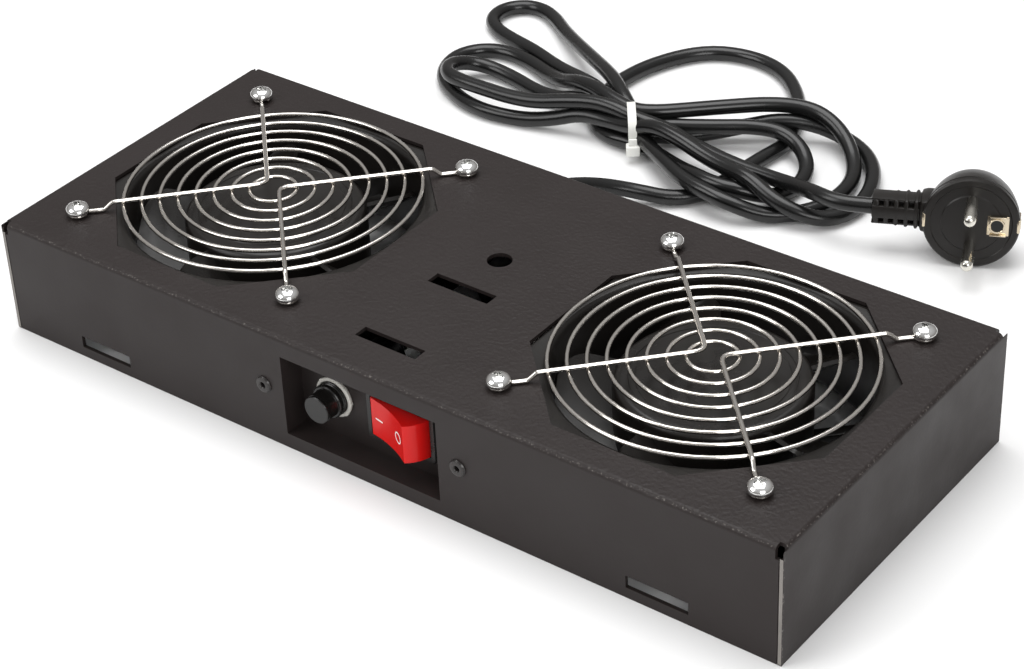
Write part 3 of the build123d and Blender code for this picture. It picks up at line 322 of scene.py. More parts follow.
# Plug: its own frame has X towards the cord and Z out along the pins. The body is a turned disc
# that narrows to its back, with a groove behind the rim and a side collar for the sleeve.
PLUG_FACE, PLUG_TURN, PLUG_TILT = (109.3, 167.2, 19), radians(25), radians(6)
PLUG_RADIUS, PLUG_DEPTH, RELIEF_DEPTH = 18.8, 20.5, -9.5
COLLAR = (12, 14.2, 15.4)
pins_way = Vector((
    sin(PLUG_TURN) * cos(PLUG_TILT), -cos(PLUG_TURN) * cos(PLUG_TILT), sin(PLUG_TILT)
))
cord_way = Vector((-cos(PLUG_TURN), -sin(PLUG_TURN), 0))
plug_lane = lane(PLUG_FACE, cord_way, pins_way)
plug_mat = paint(
    "plug_cover", (0.0095, 0.008, 0.007), 0.36, grain=600.0, relief=0.06, shine=0.33
)
plug_mesh = bmesh.new()
plug_profile = [
    (0, 0), (11.5, 0), (12, -0.4), (15.6, -0.4), (16, 0), (18.2, 0), (PLUG_RADIUS, -0.6),
    (PLUG_RADIUS, -2.4), (18.2, -2.7), (18.2, -3.4), (18.7, -3.7), (18.4, -7), (17.9, -9.5),
    (17.1, -13), (15.9, -16.4), (14.2, -18.8), (12.0, -20.1), (9.0, -PLUG_DEPTH),
    (0, -PLUG_DEPTH),
]
add_lathe(plug_mesh, plug_profile, plug_lane, 72)
add_box(plug_mesh, plug_lane @ at(14.5, 0, RELIEF_DEPTH), COLLAR, 2.6)
plug = keep(
    from_bmesh("plug_shell", plug_mesh), plug_mat, replaces=("plug_body",)
)

# Bending relief of the plug: a tapered sleeve of segments, joined by a middle band and by a
# thin strip above and below the slots.
SEGMENTS, SEGMENT_STEP, SEGMENT_LENGTH = 5, 3.9, 2.3
FIRST_SEGMENT, FIRST_SIZE, SIZE_TAPER = 20.3, 12.4, 0.55
SLEEVE_MIDDLE, SLEEVE_LENGTH = 29.3, 19.2
relief_mesh = bmesh.new()
for number in range(SEGMENTS):
    start = FIRST_SEGMENT + number * SEGMENT_STEP
    size = FIRST_SIZE - SIZE_TAPER * number
    segment = plug_lane @ at(start + 1.2, 0, RELIEF_DEPTH)
    add_box(relief_mesh, segment, (SEGMENT_LENGTH, size, size), 1.6 - 0.15 * number)
sleeve = plug_lane @ at(SLEEVE_MIDDLE, 0, RELIEF_DEPTH)
add_box(relief_mesh, sleeve, (SLEEVE_LENGTH, 5.4, 11.2), 0.8)
for side in (-1, 1):
    add_box(relief_mesh, sleeve @ at(0, side * 5.0, 0), (SLEEVE_LENGTH, 1.0, 8.6), 0.3)
relief = keep(
    from_bmesh("plug_sleeve", relief_mesh),
    plug_mat,
    replaces=("plug_strain_relief",),
)

# Contacts: two nickel pins with domed tips, the brass earth socket, and the two spring clips in
# the sides of the plug. A near-black core fills the socket's bore as painted shade of its
# depth.
nickel_mat = paint("nickel", (0.70, 0.68, 0.62), 0.22, metal=1.0, grain=900.0, relief=0.03)
brass_mat = paint("brass", (0.66, 0.57, 0.43), 0.26, metal=1.0, grain=900.0, relief=0.04)
bore_shade_mat = paint("painted_bore_shade", (0.006, 0.006, 0.006), 0.7)
PIN_RADIUS, PIN_LENGTH, PIN_ROOT, PIN_HALF_PITCH = 2.4, 19, 8, 9.5
EARTH_X, EARTH_BORE, EARTH_RADIUS = -10, 2.4, 3.2
pin_mesh = bmesh.new()
for side in (-1, 1):
    add_lathe(
        pin_mesh,
        [
            (0, -PIN_ROOT), (PIN_RADIUS, -PIN_ROOT), (PIN_RADIUS, 16.8), (2.25, 17.8),
            (1.8, 18.5), (1.1, 18.9), (0, PIN_LENGTH),
        ],
        plug_lane @ at(0, side * PIN_HALF_PITCH, 0),
        32,
    )
pins = keep(from_bmesh("plug_prongs", pin_mesh), nickel_mat, replaces=("plug_pins",))
earth_mesh = bmesh.new()
add_lathe(
    earth_mesh,
    [
        (EARTH_BORE, -14.8), (EARTH_RADIUS, -14.8), (EARTH_RADIUS, 0.6), (3.0, 0.8), (2.6, 0.8),
        (EARTH_BORE, 0.6), (EARTH_BORE, -14.8),
    ],
    plug_lane @ at(EARTH_X, 0, 0),
    32,
)
add_box(earth_mesh, plug_lane @ at(EARTH_X - 0.4, 0, 0), (8.4, 8.2, 0.6), 0.2)
for side in (-1, 1):
    add_box(earth_mesh, plug_lane @ at(EARTH_X - 0.4, side * 3.9, 0.5), (6.4, 0.6, 1.4), 0.2)
CLIP_LEAF, CLIP_TONGUE = (1.2, 5.6, 8.2), (0.8, 3.2, 4.0)
for side in (-1, 1):
    add_box(earth_mesh, plug_lane @ at(side * 18.2, 0, -4), CLIP_LEAF, 0.35)
    add_box(earth_mesh, plug_lane @ at(side * 18.6, 0, -3.2), CLIP_TONGUE, 0.3)
earth = keep(
    from_bmesh("earth_parts", earth_mesh),
    brass_mat,
    replaces=("plug_earth_contacts",),
)
# Painted shade: a near-black cylinder fills the earth socket's bore so that it reads as a deep,
# shaded hole.
bore_mesh = bmesh.new()
add_lathe(
    bore_mesh,
    [(0, -14), (EARTH_BORE - 0.02, -14), (EARTH_BORE - 0.02, 0.42), (0, 0.42)],
    plug_lane @ at(EARTH_X, 0, 0),
    24,
)
earth_bore_shade = keep(from_bmesh("earth_bore_shade", bore_mesh), bore_shade_mat)

# Housing: the folded sheet keeps its CAD shape, with its cut edges softly broken. The coat is
# a fine-textured near-black powder, rubbed lighter along the bends and the corners.
HALF_WIDTH, HALF_DEPTH, HEIGHT = 174, 72.5, 48
BARE_METAL = (0.20, 0.185, 0.17)
coat_mat = paint(
    "black_coat", (0.0195, 0.0150, 0.0143), 0.46, grain=620.0, relief=0.5, shine=0.24
)
nodes, links = coat_mat.node_tree.nodes, coat_mat.node_tree.links


def calc(operation, first, second=0.0):
    """One Math node whose inputs are sockets or numbers."""
    node = nodes.new("ShaderNodeMath")
    node.operation = operation
    for socket, value in zip(node.inputs, (first, second)):
        if isinstance(value, (int, float)):
            socket.default_value = value
        else:
            links.new(value, socket)
    return node.outputs[0]


where = nodes.new("ShaderNodeSeparateXYZ")
links.new(nodes["Texture Coordinate"].outputs["Object"], where.inputs[0])
across, inward = calc("ABSOLUTE", where.outputs["X"]), calc("ABSOLUTE", where.outputs["Y"])
from_side = calc("ABSOLUTE", calc("SUBTRACT", across, HALF_WIDTH * MM))
from_front = calc("ABSOLUTE", calc("SUBTRACT", inward, HALF_DEPTH * MM))
from_top = calc("ABSOLUTE", calc("SUBTRACT", where.outputs["Z"], HEIGHT * MM))
top_bends = calc(
    "MINIMUM", calc("MAXIMUM", from_side, from_top), calc("MAXIMUM", from_front, from_top)
)
near_edge = calc("MINIMUM", top_bends, calc("MAXIMUM", from_side, from_front))
edge_band = nodes.new("ShaderNodeMapRange")
edge_band.inputs["From Min"].default_value = 1.2 * MM
edge_band.inputs["From Max"].default_value = 0.4 * MM
links.new(near_edge, edge_band.inputs["Value"])
speck = nodes.new("ShaderNodeTexNoise")
speck.inputs["Scale"].default_value = 1100.0
speck.inputs["Detail"].default_value = 2.0
links.new(nodes["Texture Coordinate"].outputs["Object"], speck.inputs["Vector"])
rubbed = nodes.new("ShaderNodeMapRange")
rubbed.inputs["From Min"].default_value = 0.56
rubbed.inputs["From Max"].default_value = 0.68
links.new(speck.outputs["Fac"], rubbed.inputs["Value"])
wear = calc("MULTIPLY", calc("MULTIPLY", edge_band.outputs[0], rubbed.outputs[0]), 0.75)
worn = nodes.new("ShaderNodeMix")
worn.data_type = "RGBA"
worn.inputs["B"].default_value = (*BARE_METAL, 1)
links.new(wear, worn.inputs["Factor"])
links.new(nodes["tint"].outputs["Result"], worn.inputs["A"])
links.new(worn.outputs["Result"], nodes["Principled BSDF"].inputs["Base Color"])

# The wrinkle of the coat is strongest on the plate and faint on the walls.
on_plate = nodes.new("ShaderNodeMapRange")
on_plate.inputs["From Min"].default_value = (HEIGHT - 1.8) * MM
on_plate.inputs["From Max"].default_value = (HEIGHT - 0.6) * MM
on_plate.inputs["To Min"].default_value = 0.10
on_plate.inputs["To Max"].default_value = 1.0
links.new(where.outputs["Z"], on_plate.inputs["Value"])
links.new(on_plate.outputs["Result"], nodes["Bump"].inputs["Strength"])


def dress(name, mat, edge=0.0):
    """Give a CAD node its finish and, when asked, a small rounding of its sharp edges."""
    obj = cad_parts[name]
    for holder in obj.material_slots:
        holder.material = mat
    if not obj.material_slots:
        obj.data.materials.append(mat)
    if edge:
        bevel = obj.modifiers.new("edges", "BEVEL")
        bevel.width = edge * MM
        bevel.segments = 2
        bevel.limit_method = "ANGLE"
        bevel.angle_limit = radians(35)
        bevel.harden_normals = False
    return obj


dress("tray_housing", coat_mat, 0.18)
dress("control_pocket", coat_mat, 0.15)

# Raw cut edges of the side walls, bright under the coat: a thin strip at each of the four
# upright corners, on the front and back ends of the sheet.
SHEET = 1.5
RAW_STRIP = (1.3, 0.12, 43.5)
raw_mat = paint("raw_edge", BARE_METAL, 0.5, grain=1400.0, relief=0.3, vary=0.4)
raw_mesh = bmesh.new()
for side in (-1, 1):
    for end in (-1, 1):
        corner = at(side * (HALF_WIDTH - SHEET / 2), end * (HALF_DEPTH - 0.01), 22)
        add_box(raw_mesh, corner, RAW_STRIP)
keep(from_bmesh("raw_edges", raw_mesh, smooth=False), raw_mat)

# Rivets: dark tubular heads with a rolled rim and an open middle, and rolled tails. They stand
# on the front wall, one on each side of the pocket.
RIVET_X, RIVET_Z = 44, 24.5
RIVET_BORE, RIVET_SHANK, RIVET_HEAD = 1.1, 1.6, 3.4
rivet_mat = paint("dark_rivet", (0.022, 0.019, 0.018), 0.30, metal=0.2)
rivet_profile = [
    (RIVET_BORE, -3.4), (RIVET_BORE, 0.7), (1.4, 1.05), (2.2, 1.15), (3.0, 0.9),
    (RIVET_HEAD, 0.35), (RIVET_HEAD, 0), (RIVET_SHANK, 0), (RIVET_SHANK, -2.5), (2.5, -2.5),
    (2.4, -3.2), (1.8, -3.4), (RIVET_BORE, -3.4),
]
rivet_mesh = bmesh.new()
for x in (-RIVET_X, RIVET_X):
    place = lane((x, -HALF_DEPTH, RIVET_Z), (1, 0, 0), (0, -1, 0))
    add_lathe(rivet_mesh, rivet_profile, place, 36)
keep(
    from_bmesh("tube_rivets", rivet_mesh), rivet_mat, replaces=("pocket_rivets",)
)

# Switch: black bezel and box from the CAD, and a glossy red rocker with white marks set into
# its hollow face. The rocker's own frame leans 20 degrees about its pivot.
PIVOT, ROCKER_LEAN = (11.7, -61.1, 23.2), radians(-20)
HOLLOW_RADIUS, HOLLOW_CENTRE = 47.6, 53.9
BAR_X, BAR, RING_X = -6.6, (3.9, 0.16, 0.6), 6.0
plastic_mat = paint(
    "black_plastic", (0.007, 0.0065, 0.006), 0.24, grain=700.0, relief=0.04, shine=0.4
)
dress("switch_housing", plastic_mat, 0.3)
red_mat = paint(
    "red_rocker", (0.64, 0.010, 0.009), 0.20, grain=400.0, relief=0.02, vary=0.06, shine=0.28
)
red_shader = red_mat.node_tree.nodes["Principled BSDF"]
red_shader.inputs["Subsurface Weight"].default_value = 0.3
red_shader.inputs["Subsurface Scale"].default_value = 2 * MM
dress("switch_rocker", red_mat, 0.4)
mark_mat = paint("white_mark", (0.85, 0.85, 0.83), 0.4, grain=900.0, relief=0.02, vary=0.03)
rocker_lane = at(*PIVOT) @ Matrix.Rotation(ROCKER_LEAN, 4, "Z")


def face_depth(x):
    """Distance of the rocker's hollow face from its pivot axis."""
    return HOLLOW_CENTRE - sqrt(HOLLOW_RADIUS**2 - x * x)


mark_mesh = bmesh.new()
bar_lane = rocker_lane @ at(BAR_X, -face_depth(BAR_X), 0) @ Matrix.Rotation(radians(8), 4, "Z")
add_box(mark_mesh, bar_lane, BAR, 0.04)
ring_lane = rocker_lane @ at(RING_X, -face_depth(RING_X), 0)
ring_lane = ring_lane @ Matrix.Rotation(radians(90), 4, "X")
ring_lane = ring_lane @ Matrix.Rotation(radians(-7), 4, "Y")
add_lathe(
    mark_mesh,
    [(1.85, -0.08), (2.3, -0.08), (2.3, 0.09), (1.85, 0.09), (1.85, -0.08)],
    ring_lane,
    32,
)
keep(from_bmesh("switch_marks", mark_mesh), mark_mat, body="rocker")
tab_mat = paint("tab_metal", (0.62, 0.61, 0.58), 0.3, metal=1.0, grain=900.0, relief=0.05)
dress("switch_terminals", tab_mat, 0.1)

# Fuse holder: light grey ring nut with eight low lugs, black threaded collar, and the turning
# cap with a finely gripped skirt and a thin groove behind its face.
FUSE_PLACE = (-19.6, -62, 22.8)
THREAD_RADIUS, NUT_RADIUS, NUT_THICK, NUT_LUGS = 6.6, 8.0, 1.5, 8
BARREL_BORE, BARREL_BACK, SHOULDER_RADIUS = 4.4, -32, 8.6
CAP_BORE, SKIRT_RADIUS, CAP_RADIUS, CAP_FACE, CAP_TEETH = 2.05, 6.5, 5.45, 10.8, 30
grey_mat = paint("grey_plastic", (0.56, 0.55, 0.51), 0.45, grain=900.0, relief=0.08, vary=0.06)
fuse_lane = lane(FUSE_PLACE, (1, 0, 0), (0, -1, 0))
nut_mesh = bmesh.new()
add_lathe(
    nut_mesh,
    [
        (6.62, 0), (7.8, 0), (NUT_RADIUS, 0.3), (NUT_RADIUS, 1.1), (7.6, NUT_THICK),
        (6.9, NUT_THICK), (6.62, 1.2), (6.62, 0),
    ],
    fuse_lane,
    56,
)
for number in range(NUT_LUGS):
    heading = Matrix.Rotation(2 * pi * number / NUT_LUGS, 4, "Z")
    lug = fuse_lane @ heading @ at(NUT_RADIUS - 0.05, 0, NUT_THICK / 2)
    add_box(nut_mesh, lug, (0.5, 1.2, 1.3), 0.15)
keep(
    from_bmesh("grey_ring_nut", nut_mesh),
    grey_mat,
    replaces=("fuse_holder_ring_nut",),
)
barrel_profile = [(BARREL_BORE, 2.9), (6.3, 2.9), (THREAD_RADIUS, 2.6)]
for thread in range(3):
    barrel_profile += [
        (THREAD_RADIUS, 2.3 - 0.25 * thread), (THREAD_RADIUS - 0.15, 2.2 - 0.25 * thread)
    ]
barrel_profile += [
    (THREAD_RADIUS, 1.4), (THREAD_RADIUS, -1), (SHOULDER_RADIUS, -1), (SHOULDER_RADIUS, -3),
    (THREAD_RADIUS, -3), (THREAD_RADIUS, BARREL_BACK), (0, BARREL_BACK), (0, BARREL_BACK + 3),
    (BARREL_BORE, BARREL_BACK + 3), (BARREL_BORE, 2.9),
]
barrel_mesh = bmesh.new()
add_lathe(barrel_mesh, barrel_profile, fuse_lane, 48)
keep(
    from_bmesh("fuse_collar", barrel_mesh),
    plastic_mat,
    replaces=("fuse_holder_barrel",),
)
cap_mesh = bmesh.new()
add_lathe(
    cap_mesh,
    [
        (CAP_BORE, 3.2), (6.3, 3.2), (SKIRT_RADIUS, 3.4), (SKIRT_RADIUS, 4.6), (6.2, 5.0),
        (5.6, 5.05), (CAP_RADIUS, 5.3), (CAP_RADIUS, 9.4), (5.15, 9.5), (5.15, 9.9),
        (CAP_RADIUS, 10.0), (CAP_RADIUS, 10.5), (5.2, CAP_FACE), (0, CAP_FACE), (0, 6.2),
        (CAP_BORE, 6.2), (CAP_BORE, 3.2),
    ],
    fuse_lane,
    56,
)
for number in range(CAP_TEETH):
    heading = Matrix.Rotation(2 * pi * number / CAP_TEETH, 4, "Z")
    tooth = fuse_lane @ heading @ at(SKIRT_RADIUS - 0.05, 0, 4.0)
    add_box(cap_mesh, tooth, (0.4, 0.6, 1.3), 0.12)
keep(
    from_bmesh("fuse_knob", cap_mesh),
    plastic_mat,
    body="fuse_cap",
    replaces=("fuse_cap",),
)
dress("fuse_carrier", plastic_mat, 0.1)
dress("fuse_end_caps", nickel_mat, 0.2)
dress("fuse_holder_terminals", tab_mat, 0.1)
glass_mat = paint("fuse_glass", (0.92, 0.94, 0.93), 0.06, grain=500.0, relief=0.01, vary=0.02)
glass_shader = glass_mat.node_tree.nodes["Principled BSDF"]
glass_shader.inputs["Transmission Weight"].default_value = 0.9
dress("fuse_glass", glass_mat)

# Fans: a cast frame with square flanges on a round barrel with flared mouths, four struts and
# a motor base; a moulded rotor of a domed hub and five broad pitched blades. The stator, the
# rotor cup, the shaft and the bearings keep their CAD shapes.
FAN_X, FAN_BASE, FAN_DEPTH = 100.0, 8.5, 38
FLANGE_HALF, FLANGE_CORNER, FLANGE_THICK = 59.5, 4, 4.5
SCREW_HALF_PITCH, SCREW_HOLE = 52.5, 2.2
MOUTH_RADIUS, THROAT_RADIUS, BARREL_RADIUS = 58.45, 56.5, 58.8
STRUT, STRUT_MIDDLE = (29, 5, 4), 43
BASE_RADIUS, POST_RADIUS, POST_TOP, BEARING_BORE = 33, 8.5, 25, 6.55
HUB_RADIUS, HUB_BORE, HUB_BOTTOM, HUB_TOP, SHAFT_BORE = 35, 33, 7, 34, 2.53
BLADES, BLADE_ROOT, BLADE_TIP, BLADE_THICK = 5, 33.5, 55.2, 1.5
ROOT_HALF, TIP_HALF, TIP_ROUND, BLADE_MIDDLE, CAMBER = 15.2, 22.0, 9.0, 28.0, 3.6
ROOT_PITCH, TIP_PITCH = 36, 28
frame_mat = paint(
    "fan_frame", (0.010, 0.0085, 0.0075), 0.36, grain=700.0, relief=0.12, shine=0.36
)
blade_mat = paint(
    "fan_plastic", (0.010, 0.0085, 0.0075), 0.30, grain=500.0, relief=0.04, shine=0.4
)
steel_mat = paint("stator_steel", (0.30, 0.30, 0.31), 0.4, metal=1.0, grain=800.0)
bright_mat = paint("bearing_steel", (0.60, 0.60, 0.61), 0.25, metal=1.0, relief=0.03)
for side, x in (("left", -FAN_X), ("right", FAN_X)):
    outline = bpy.data.curves.new(side + "_flange_outline", "CURVE")
    outline.dimensions = "2D"
    outline.fill_mode = "BOTH"
    square = outline.splines.new("POLY")
    corners = []
    straight = FLANGE_HALF - FLANGE_CORNER
    for cx, cy, start in CORNER_SIGNS:
        for step in range(6):
            angle = radians(start + 18 * step)
            corners.append((
                cx * straight + FLANGE_CORNER * cos(angle),
                cy * straight + FLANGE_CORNER * sin(angle),
            ))
    square.points.add(len(corners) - 1)
    for point, (px, py) in zip(square.points, corners):
        point.co = (px * MM, py * MM, 0, 1)
    square.use_cyclic_u = True
    holes = [(0, 0, MOUTH_RADIUS, 96)] + [
        (sx * SCREW_HALF_PITCH, sy * SCREW_HALF_PITCH, SCREW_HOLE, 16)
        for sx in (-1, 1)
        for sy in (-1, 1)
    ]
    for hx, hy, radius, sides in holes:
        hole = outline.splines.new("POLY")
        hole.points.add(sides - 1)
        for number, point in enumerate(hole.points):
            angle = 2 * pi * number / sides
            point.co = ((hx + radius * cos(angle)) * MM, (hy + radius * sin(angle)) * MM, 0, 1)
        hole.use_cyclic_u = True
    outline.extrude = (FLANGE_THICK / 2 - 0.2) * MM
    outline.bevel_depth = 0.2 * MM
    outline.bevel_resolution = 1
    flat = bpy.data.objects.new(side + "_flange_shape", outline)
    bpy.context.scene.collection.objects.link(flat)
    bpy.context.view_layer.update()
    graph = bpy.context.evaluated_depsgraph_get()
    flange = bpy.data.meshes.new_from_object(flat.evaluated_get(graph))
    bpy.data.objects.remove(flat)
    body = bmesh.new()
    for z in (FAN_BASE + FLANGE_THICK / 2, FAN_BASE + FAN_DEPTH - FLANGE_THICK / 2):
        piece = bmesh.new()
        piece.from_mesh(flange)
        bmesh.ops.transform(piece, matrix=at(x, 0, z), verts=piece.verts)
        copy = bpy.data.meshes.new("copy")
        piece.to_mesh(copy)
        piece.free()
        body.from_mesh(copy)
    fan_place = at(x, 0, FAN_BASE)
    mouth = [
        (THROAT_RADIUS, 3.2), (56.8, 1.6), (57.5, 0.5), (MOUTH_RADIUS, 0.05),
        (BARREL_RADIUS, 0.3),
    ]
    barrel = mouth + [(radius, FAN_DEPTH - depth) for radius, depth in mouth[::-1]] + mouth[:1]
    add_lathe(body, barrel, fan_place, 96)
    for number in range(4):
        heading = Matrix.Rotation(radians(45 + 90 * number), 4, "Z")
        add_box(body, fan_place @ heading @ at(STRUT_MIDDLE, 0, 2), STRUT, 0.6)
    add_lathe(
        body,
        [
            (0, 0), (31.5, 0), (BASE_RADIUS, 1), (BASE_RADIUS, 3), (POST_RADIUS, 3.6),
            (POST_RADIUS, POST_TOP - 0.4), (8.2, POST_TOP), (BEARING_BORE, POST_TOP),
            (BEARING_BORE, 3), (0, 3),
        ],
        fan_place,
        64,
    )
    keep(
        from_bmesh(side + "_fan_body", body),
        frame_mat,
        replaces=(side + "_fan_frame",),
    )

    rotor = bmesh.new()
    add_lathe(
        rotor,
        [
            (HUB_BORE, HUB_BOTTOM), (34.6, HUB_BOTTOM), (HUB_RADIUS, 7.4), (HUB_RADIUS, 31),
            (34.7, 32.2), (34.0, 33.2), (32.8, 33.9), (31.4, HUB_TOP), (29.5, HUB_TOP),
            (29.2, 33.7), (27.2, 33.7), (26.9, HUB_TOP), (0, HUB_TOP), (0, 29),
            (SHAFT_BORE, 29), (8, 29), (8, 32), (HUB_BORE, 32), (HUB_BORE, HUB_BOTTOM),
        ],
        fan_place,
        72,
    )
    columns, rows = 15, 13
    for number in range(BLADES):
        heading = 2 * pi * number / BLADES
        grid = []
        for row in range(rows):
            share = row / (rows - 1)
            radius = BLADE_ROOT + (BLADE_TIP - BLADE_ROOT) * share
            half = ROOT_HALF + (TIP_HALF - ROOT_HALF) * share
            over = radius - (BLADE_TIP - TIP_ROUND)
            if over > 0:
                half -= TIP_ROUND - sqrt(max(0.0, TIP_ROUND**2 - over * over))
            pitch = radians(ROOT_PITCH + (TIP_PITCH - ROOT_PITCH) * share)
            line = []
            for column in range(columns):
                t = -1 + 2 * column / (columns - 1)
                along = -t * half
                angle = heading + along / radius
                bow = CAMBER * (1 - t * t) * cos(pitch)
                height = BLADE_MIDDLE + t * half * tan(pitch) - bow
                line.append(rotor.verts.new((
                    (x + radius * cos(angle)) * MM,
                    radius * sin(angle) * MM,
                    height * MM,
                )))
            grid.append(line)
        blade_faces = []
        for row in range(rows - 1):
            for column in range(columns - 1):
                blade_faces.append(rotor.faces.new((
                    grid[row][column],
                    grid[row][column + 1],
                    grid[row + 1][column + 1],
                    grid[row + 1][column],
                )))
        bmesh.ops.recalc_face_normals(rotor, faces=blade_faces)
        bmesh.ops.solidify(rotor, geom=blade_faces, thickness=BLADE_THICK * MM)
    keep(
        from_bmesh(side + "_fan_rotor", rotor),
        blade_mat,
        body=side + "_rotor",
        replaces=(side + "_impeller",),
    )
    dress(side + "_fan_stator", steel_mat)
    dress(side + "_rotor_cup", steel_mat)
    dress(side + "_rotor_shaft", bright_mat, 0.2)
dress("fan_bearings", bright_mat)

# Finger guards: eight flat rings of bright wire under two bent spoke wires, whose ends step
# down to the plate and curl into eyelets round the screws.
RINGS, OUTER_RING, RING_STEP, RING_POINTS, RING_Z = 8, 57.0, 6.85, 24, 50.2
RING_WIRE, SPOKE_WIRE, SPOKE_GAP = 0.8, 0.9, 2.8
EYE_RADIUS, EYE_POINTS, EYE_Z, SPOKE_Z = 3.2, 10, 48.95, 51.85
JOGGLE = (
    (65.5, EYE_Z), (63.0, EYE_Z), (62.0, 49.1), (59.2, 51.75), (58.0, SPOKE_Z), (55.5, SPOKE_Z),
    (9.0, SPOKE_Z),
)
wire_mat = paint(
    "bright_wire", (0.70, 0.67, 0.63), 0.13, metal=1.0, grain=1200.0, relief=0.05, vary=0.05
)
ring_routes = []
spoke_routes = []
for x in (-FAN_X, FAN_X):
    for number in range(RINGS):
        reach = (OUTER_RING - RING_STEP * number) / cos(pi / RING_POINTS)
        ring_routes.append([
            (x + reach * cos(turn), reach * sin(turn), RING_Z)
            for turn in (2 * pi * k / RING_POINTS for k in range(RING_POINTS))
        ])
    for side in (-1, 1):
        middle = Vector((x + side * SPOKE_GAP, 0, 0))
        halves = []
        for end in (-1, 1):
            screw = Vector((x + side * SCREW_HALF_PITCH, end * SCREW_HALF_PITCH, 0))
            along = (screw - middle).normalized()
            across = Vector((-along.y, along.x, 0)) * (side * end)
            eye = []
            for k in range(EYE_POINTS):
                angle = radians(36 * k + 4)
                place = screw - (along * cos(angle) + across * sin(angle)) * EYE_RADIUS
                eye.append((place.x, place.y, EYE_Z))
            arm = [(middle.x + along.x * far, middle.y + along.y * far, z) for far, z in JOGGLE]
            halves.append(eye[::-1] + arm)
        spoke_routes.append(halves[0] + [(middle.x, 0, SPOKE_Z)] + halves[1][::-1])
rings = nurbs_tube("guard_rings", ring_routes, RING_WIRE, close=True, sides=4, finer=3)
keep(rings, wire_mat, replaces=("finger_guards",))
spokes = nurbs_tube("guard_spokes", spoke_routes, SPOKE_WIRE, sides=4, finer=4)
keep(spokes, wire_mat)

# Guard screws: domed bright pan heads with a cross recess, turned by another amount on each
# screw, on plain shanks. The hexagon nuts under the flanges keep their CAD shape.
SHANK, SHANK_LENGTH, HEAD_RADIUS, HEAD_TALL = 2.0, 12, 4.65, 3.42
SEAT_Z, CROSS_Z, CROSS_BAR, CROSS_TURN = 49.8, 52.6, (4.3, 1.05, 2.6), 23
head_profile = [
    (0, -SHANK_LENGTH), (SHANK, -SHANK_LENGTH), (SHANK, 0), (4.5, 0), (HEAD_RADIUS, 0.25),
    (4.62, 1.0), (4.25, 1.9), (3.45, 2.65), (2.3, 3.15), (1.1, 3.38), (0, HEAD_TALL),
]
screw_mat = paint("bright_screw", (0.84, 0.84, 0.83), 0.12, metal=1.0, relief=0.03, vary=0.04)
head_mesh = bmesh.new()
cutter_mesh = bmesh.new()
places = [
    (x + sx * SCREW_HALF_PITCH, sy * SCREW_HALF_PITCH)
    for x in (-FAN_X, FAN_X)
    for sx in (-1, 1)
    for sy in (-1, 1)
]
for number, (x, y) in enumerate(places):
    add_lathe(head_mesh, head_profile, at(x, y, SEAT_Z), 40)
    for quarter in (0, 90):
        heading = Matrix.Rotation(radians(quarter + CROSS_TURN * number), 4, "Z")
        add_box(cutter_mesh, at(x, y, CROSS_Z) @ heading, CROSS_BAR, 0.12)
heads = from_bmesh("guard_screw_heads", head_mesh)
cutter = from_bmesh("cross_cutter", cutter_mesh)
for obj in (heads, cutter):
    bpy.context.scene.collection.objects.link(obj)
cut = heads.modifiers.new("cross", "BOOLEAN")
cut.object = cutter
cut.solver = "EXACT"
cut.use_self = True
bpy.context.view_layer.update()
graph = bpy.context.evaluated_depsgraph_get()
solved = bpy.data.meshes.new_from_object(heads.evaluated_get(graph))
heads.modifiers.clear()
heads.data = solved
heads.data.shade_smooth()
heads.data.set_sharp_from_angle(angle=radians(34))
bpy.data.objects.remove(cutter)
keep(heads, screw_mat, replaces=("guard_screws",))
dress("guard_nuts", screw_mat, 0.15)

# Wiring inside the housing, and the lock nut of the boot: their CAD shapes, in plain black
# covers.
sleeve_mat = paint("wire_cover", (0.015, 0.014, 0.014), 0.45, relief=0.2)
dress("gland_lock_nut", plastic_mat, 0.3)
for name in ("supply_wires", "left_fan_wires", "right_fan_wires"):
    dress(name, sleeve_mat)

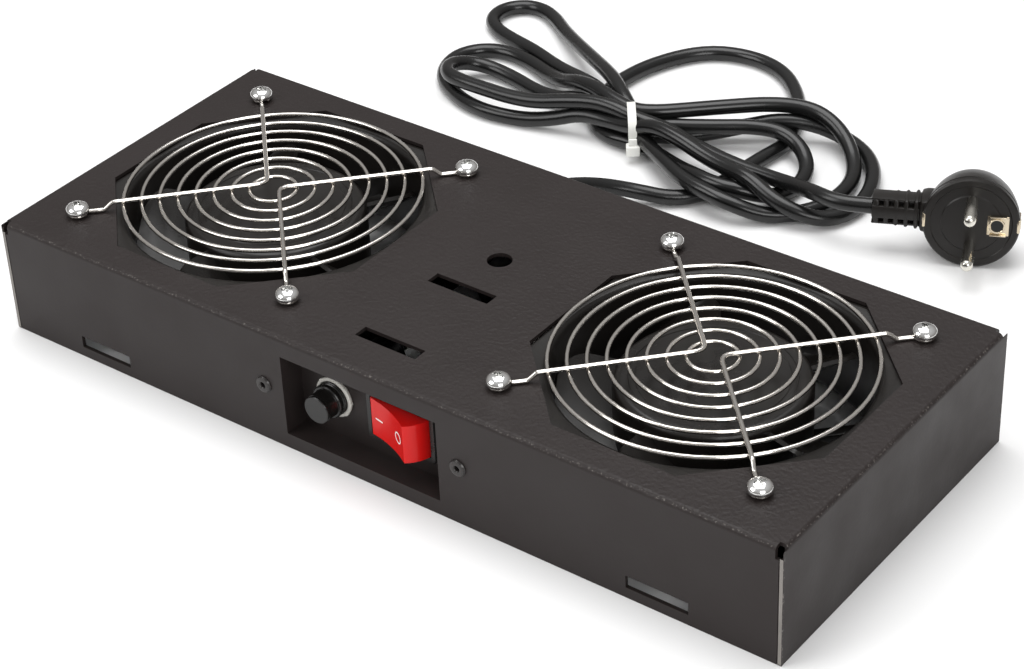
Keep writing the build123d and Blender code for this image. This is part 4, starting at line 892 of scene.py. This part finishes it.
# Floor and soft studio light: a plain pale floor under a world that is white above and dim
# below, a large soft light overhead and weaker ones from the front left and front right.
FLOOR_HALF, FLOOR_DROP = 4.0, 0.2
floor_mesh = bmesh.new()
bmesh.ops.create_grid(floor_mesh, x_segments=1, y_segments=1, size=FLOOR_HALF)
floor = from_bmesh("floor", floor_mesh, smooth=False)
bpy.context.scene.collection.objects.link(floor)
floor.location.z = -FLOOR_DROP * MM
floor_mat = bpy.data.materials.new("pale_floor")
floor_mat.use_nodes = True
floor_shader = floor_mat.node_tree.nodes["Principled BSDF"]
floor_shader.inputs["Base Color"].default_value = (0.86, 0.86, 0.86, 1)
floor_shader.inputs["Roughness"].default_value = 0.9
floor_shader.inputs["Specular IOR Level"].default_value = 0.1
floor.data.materials.append(floor_mat)

world = bpy.data.worlds.new("studio")
bpy.context.scene.world = world
world.use_nodes = True
nodes, links = world.node_tree.nodes, world.node_tree.links
sky = nodes["Background"]
place = nodes.new("ShaderNodeTexCoord")
height = nodes.new("ShaderNodeSeparateXYZ")
ramp = nodes.new("ShaderNodeValToRGB")
ramp.color_ramp.elements[0].position = 0.42
ramp.color_ramp.elements[0].color = (0.24, 0.21, 0.19, 1)
ramp.color_ramp.elements[1].position = 0.95
ramp.color_ramp.elements[1].color = (1.0, 1.0, 1.0, 1)
scale = nodes.new("ShaderNodeMapRange")
scale.inputs["From Min"].default_value = -1.0
scale.inputs["From Max"].default_value = 1.0
links.new(place.outputs["Generated"], height.inputs[0])
links.new(height.outputs["Z"], scale.inputs["Value"])
links.new(scale.outputs["Result"], ramp.inputs["Fac"])
links.new(ramp.outputs["Color"], sky.inputs["Color"])
sky.inputs["Strength"].default_value = 0.55


def soft_light(name, place, aim, size, power):
    """A square area light at a place, turned towards a point."""
    data = bpy.data.lights.new(name, "AREA")
    data.shape = "SQUARE"
    data.size = size
    data.energy = power
    lamp = bpy.data.objects.new(name, data)
    lamp.location = place
    lamp.rotation_euler = (Vector(aim) - Vector(place)).to_track_quat("-Z", "Y").to_euler()
    bpy.context.scene.collection.objects.link(lamp)


soft_light("overhead", (-0.2, 0.3, 1.7), (0, 0.05, 0), 1.4, 26)
soft_light("front_left", (-0.9, -1.2, 1.1), (0, 0, 0), 1.0, 12)
soft_light("front_right", (1.3, -0.9, 0.8), (0, 0, 0), 0.9, 12)
bpy.context.scene.view_settings.view_transform = "Standard"
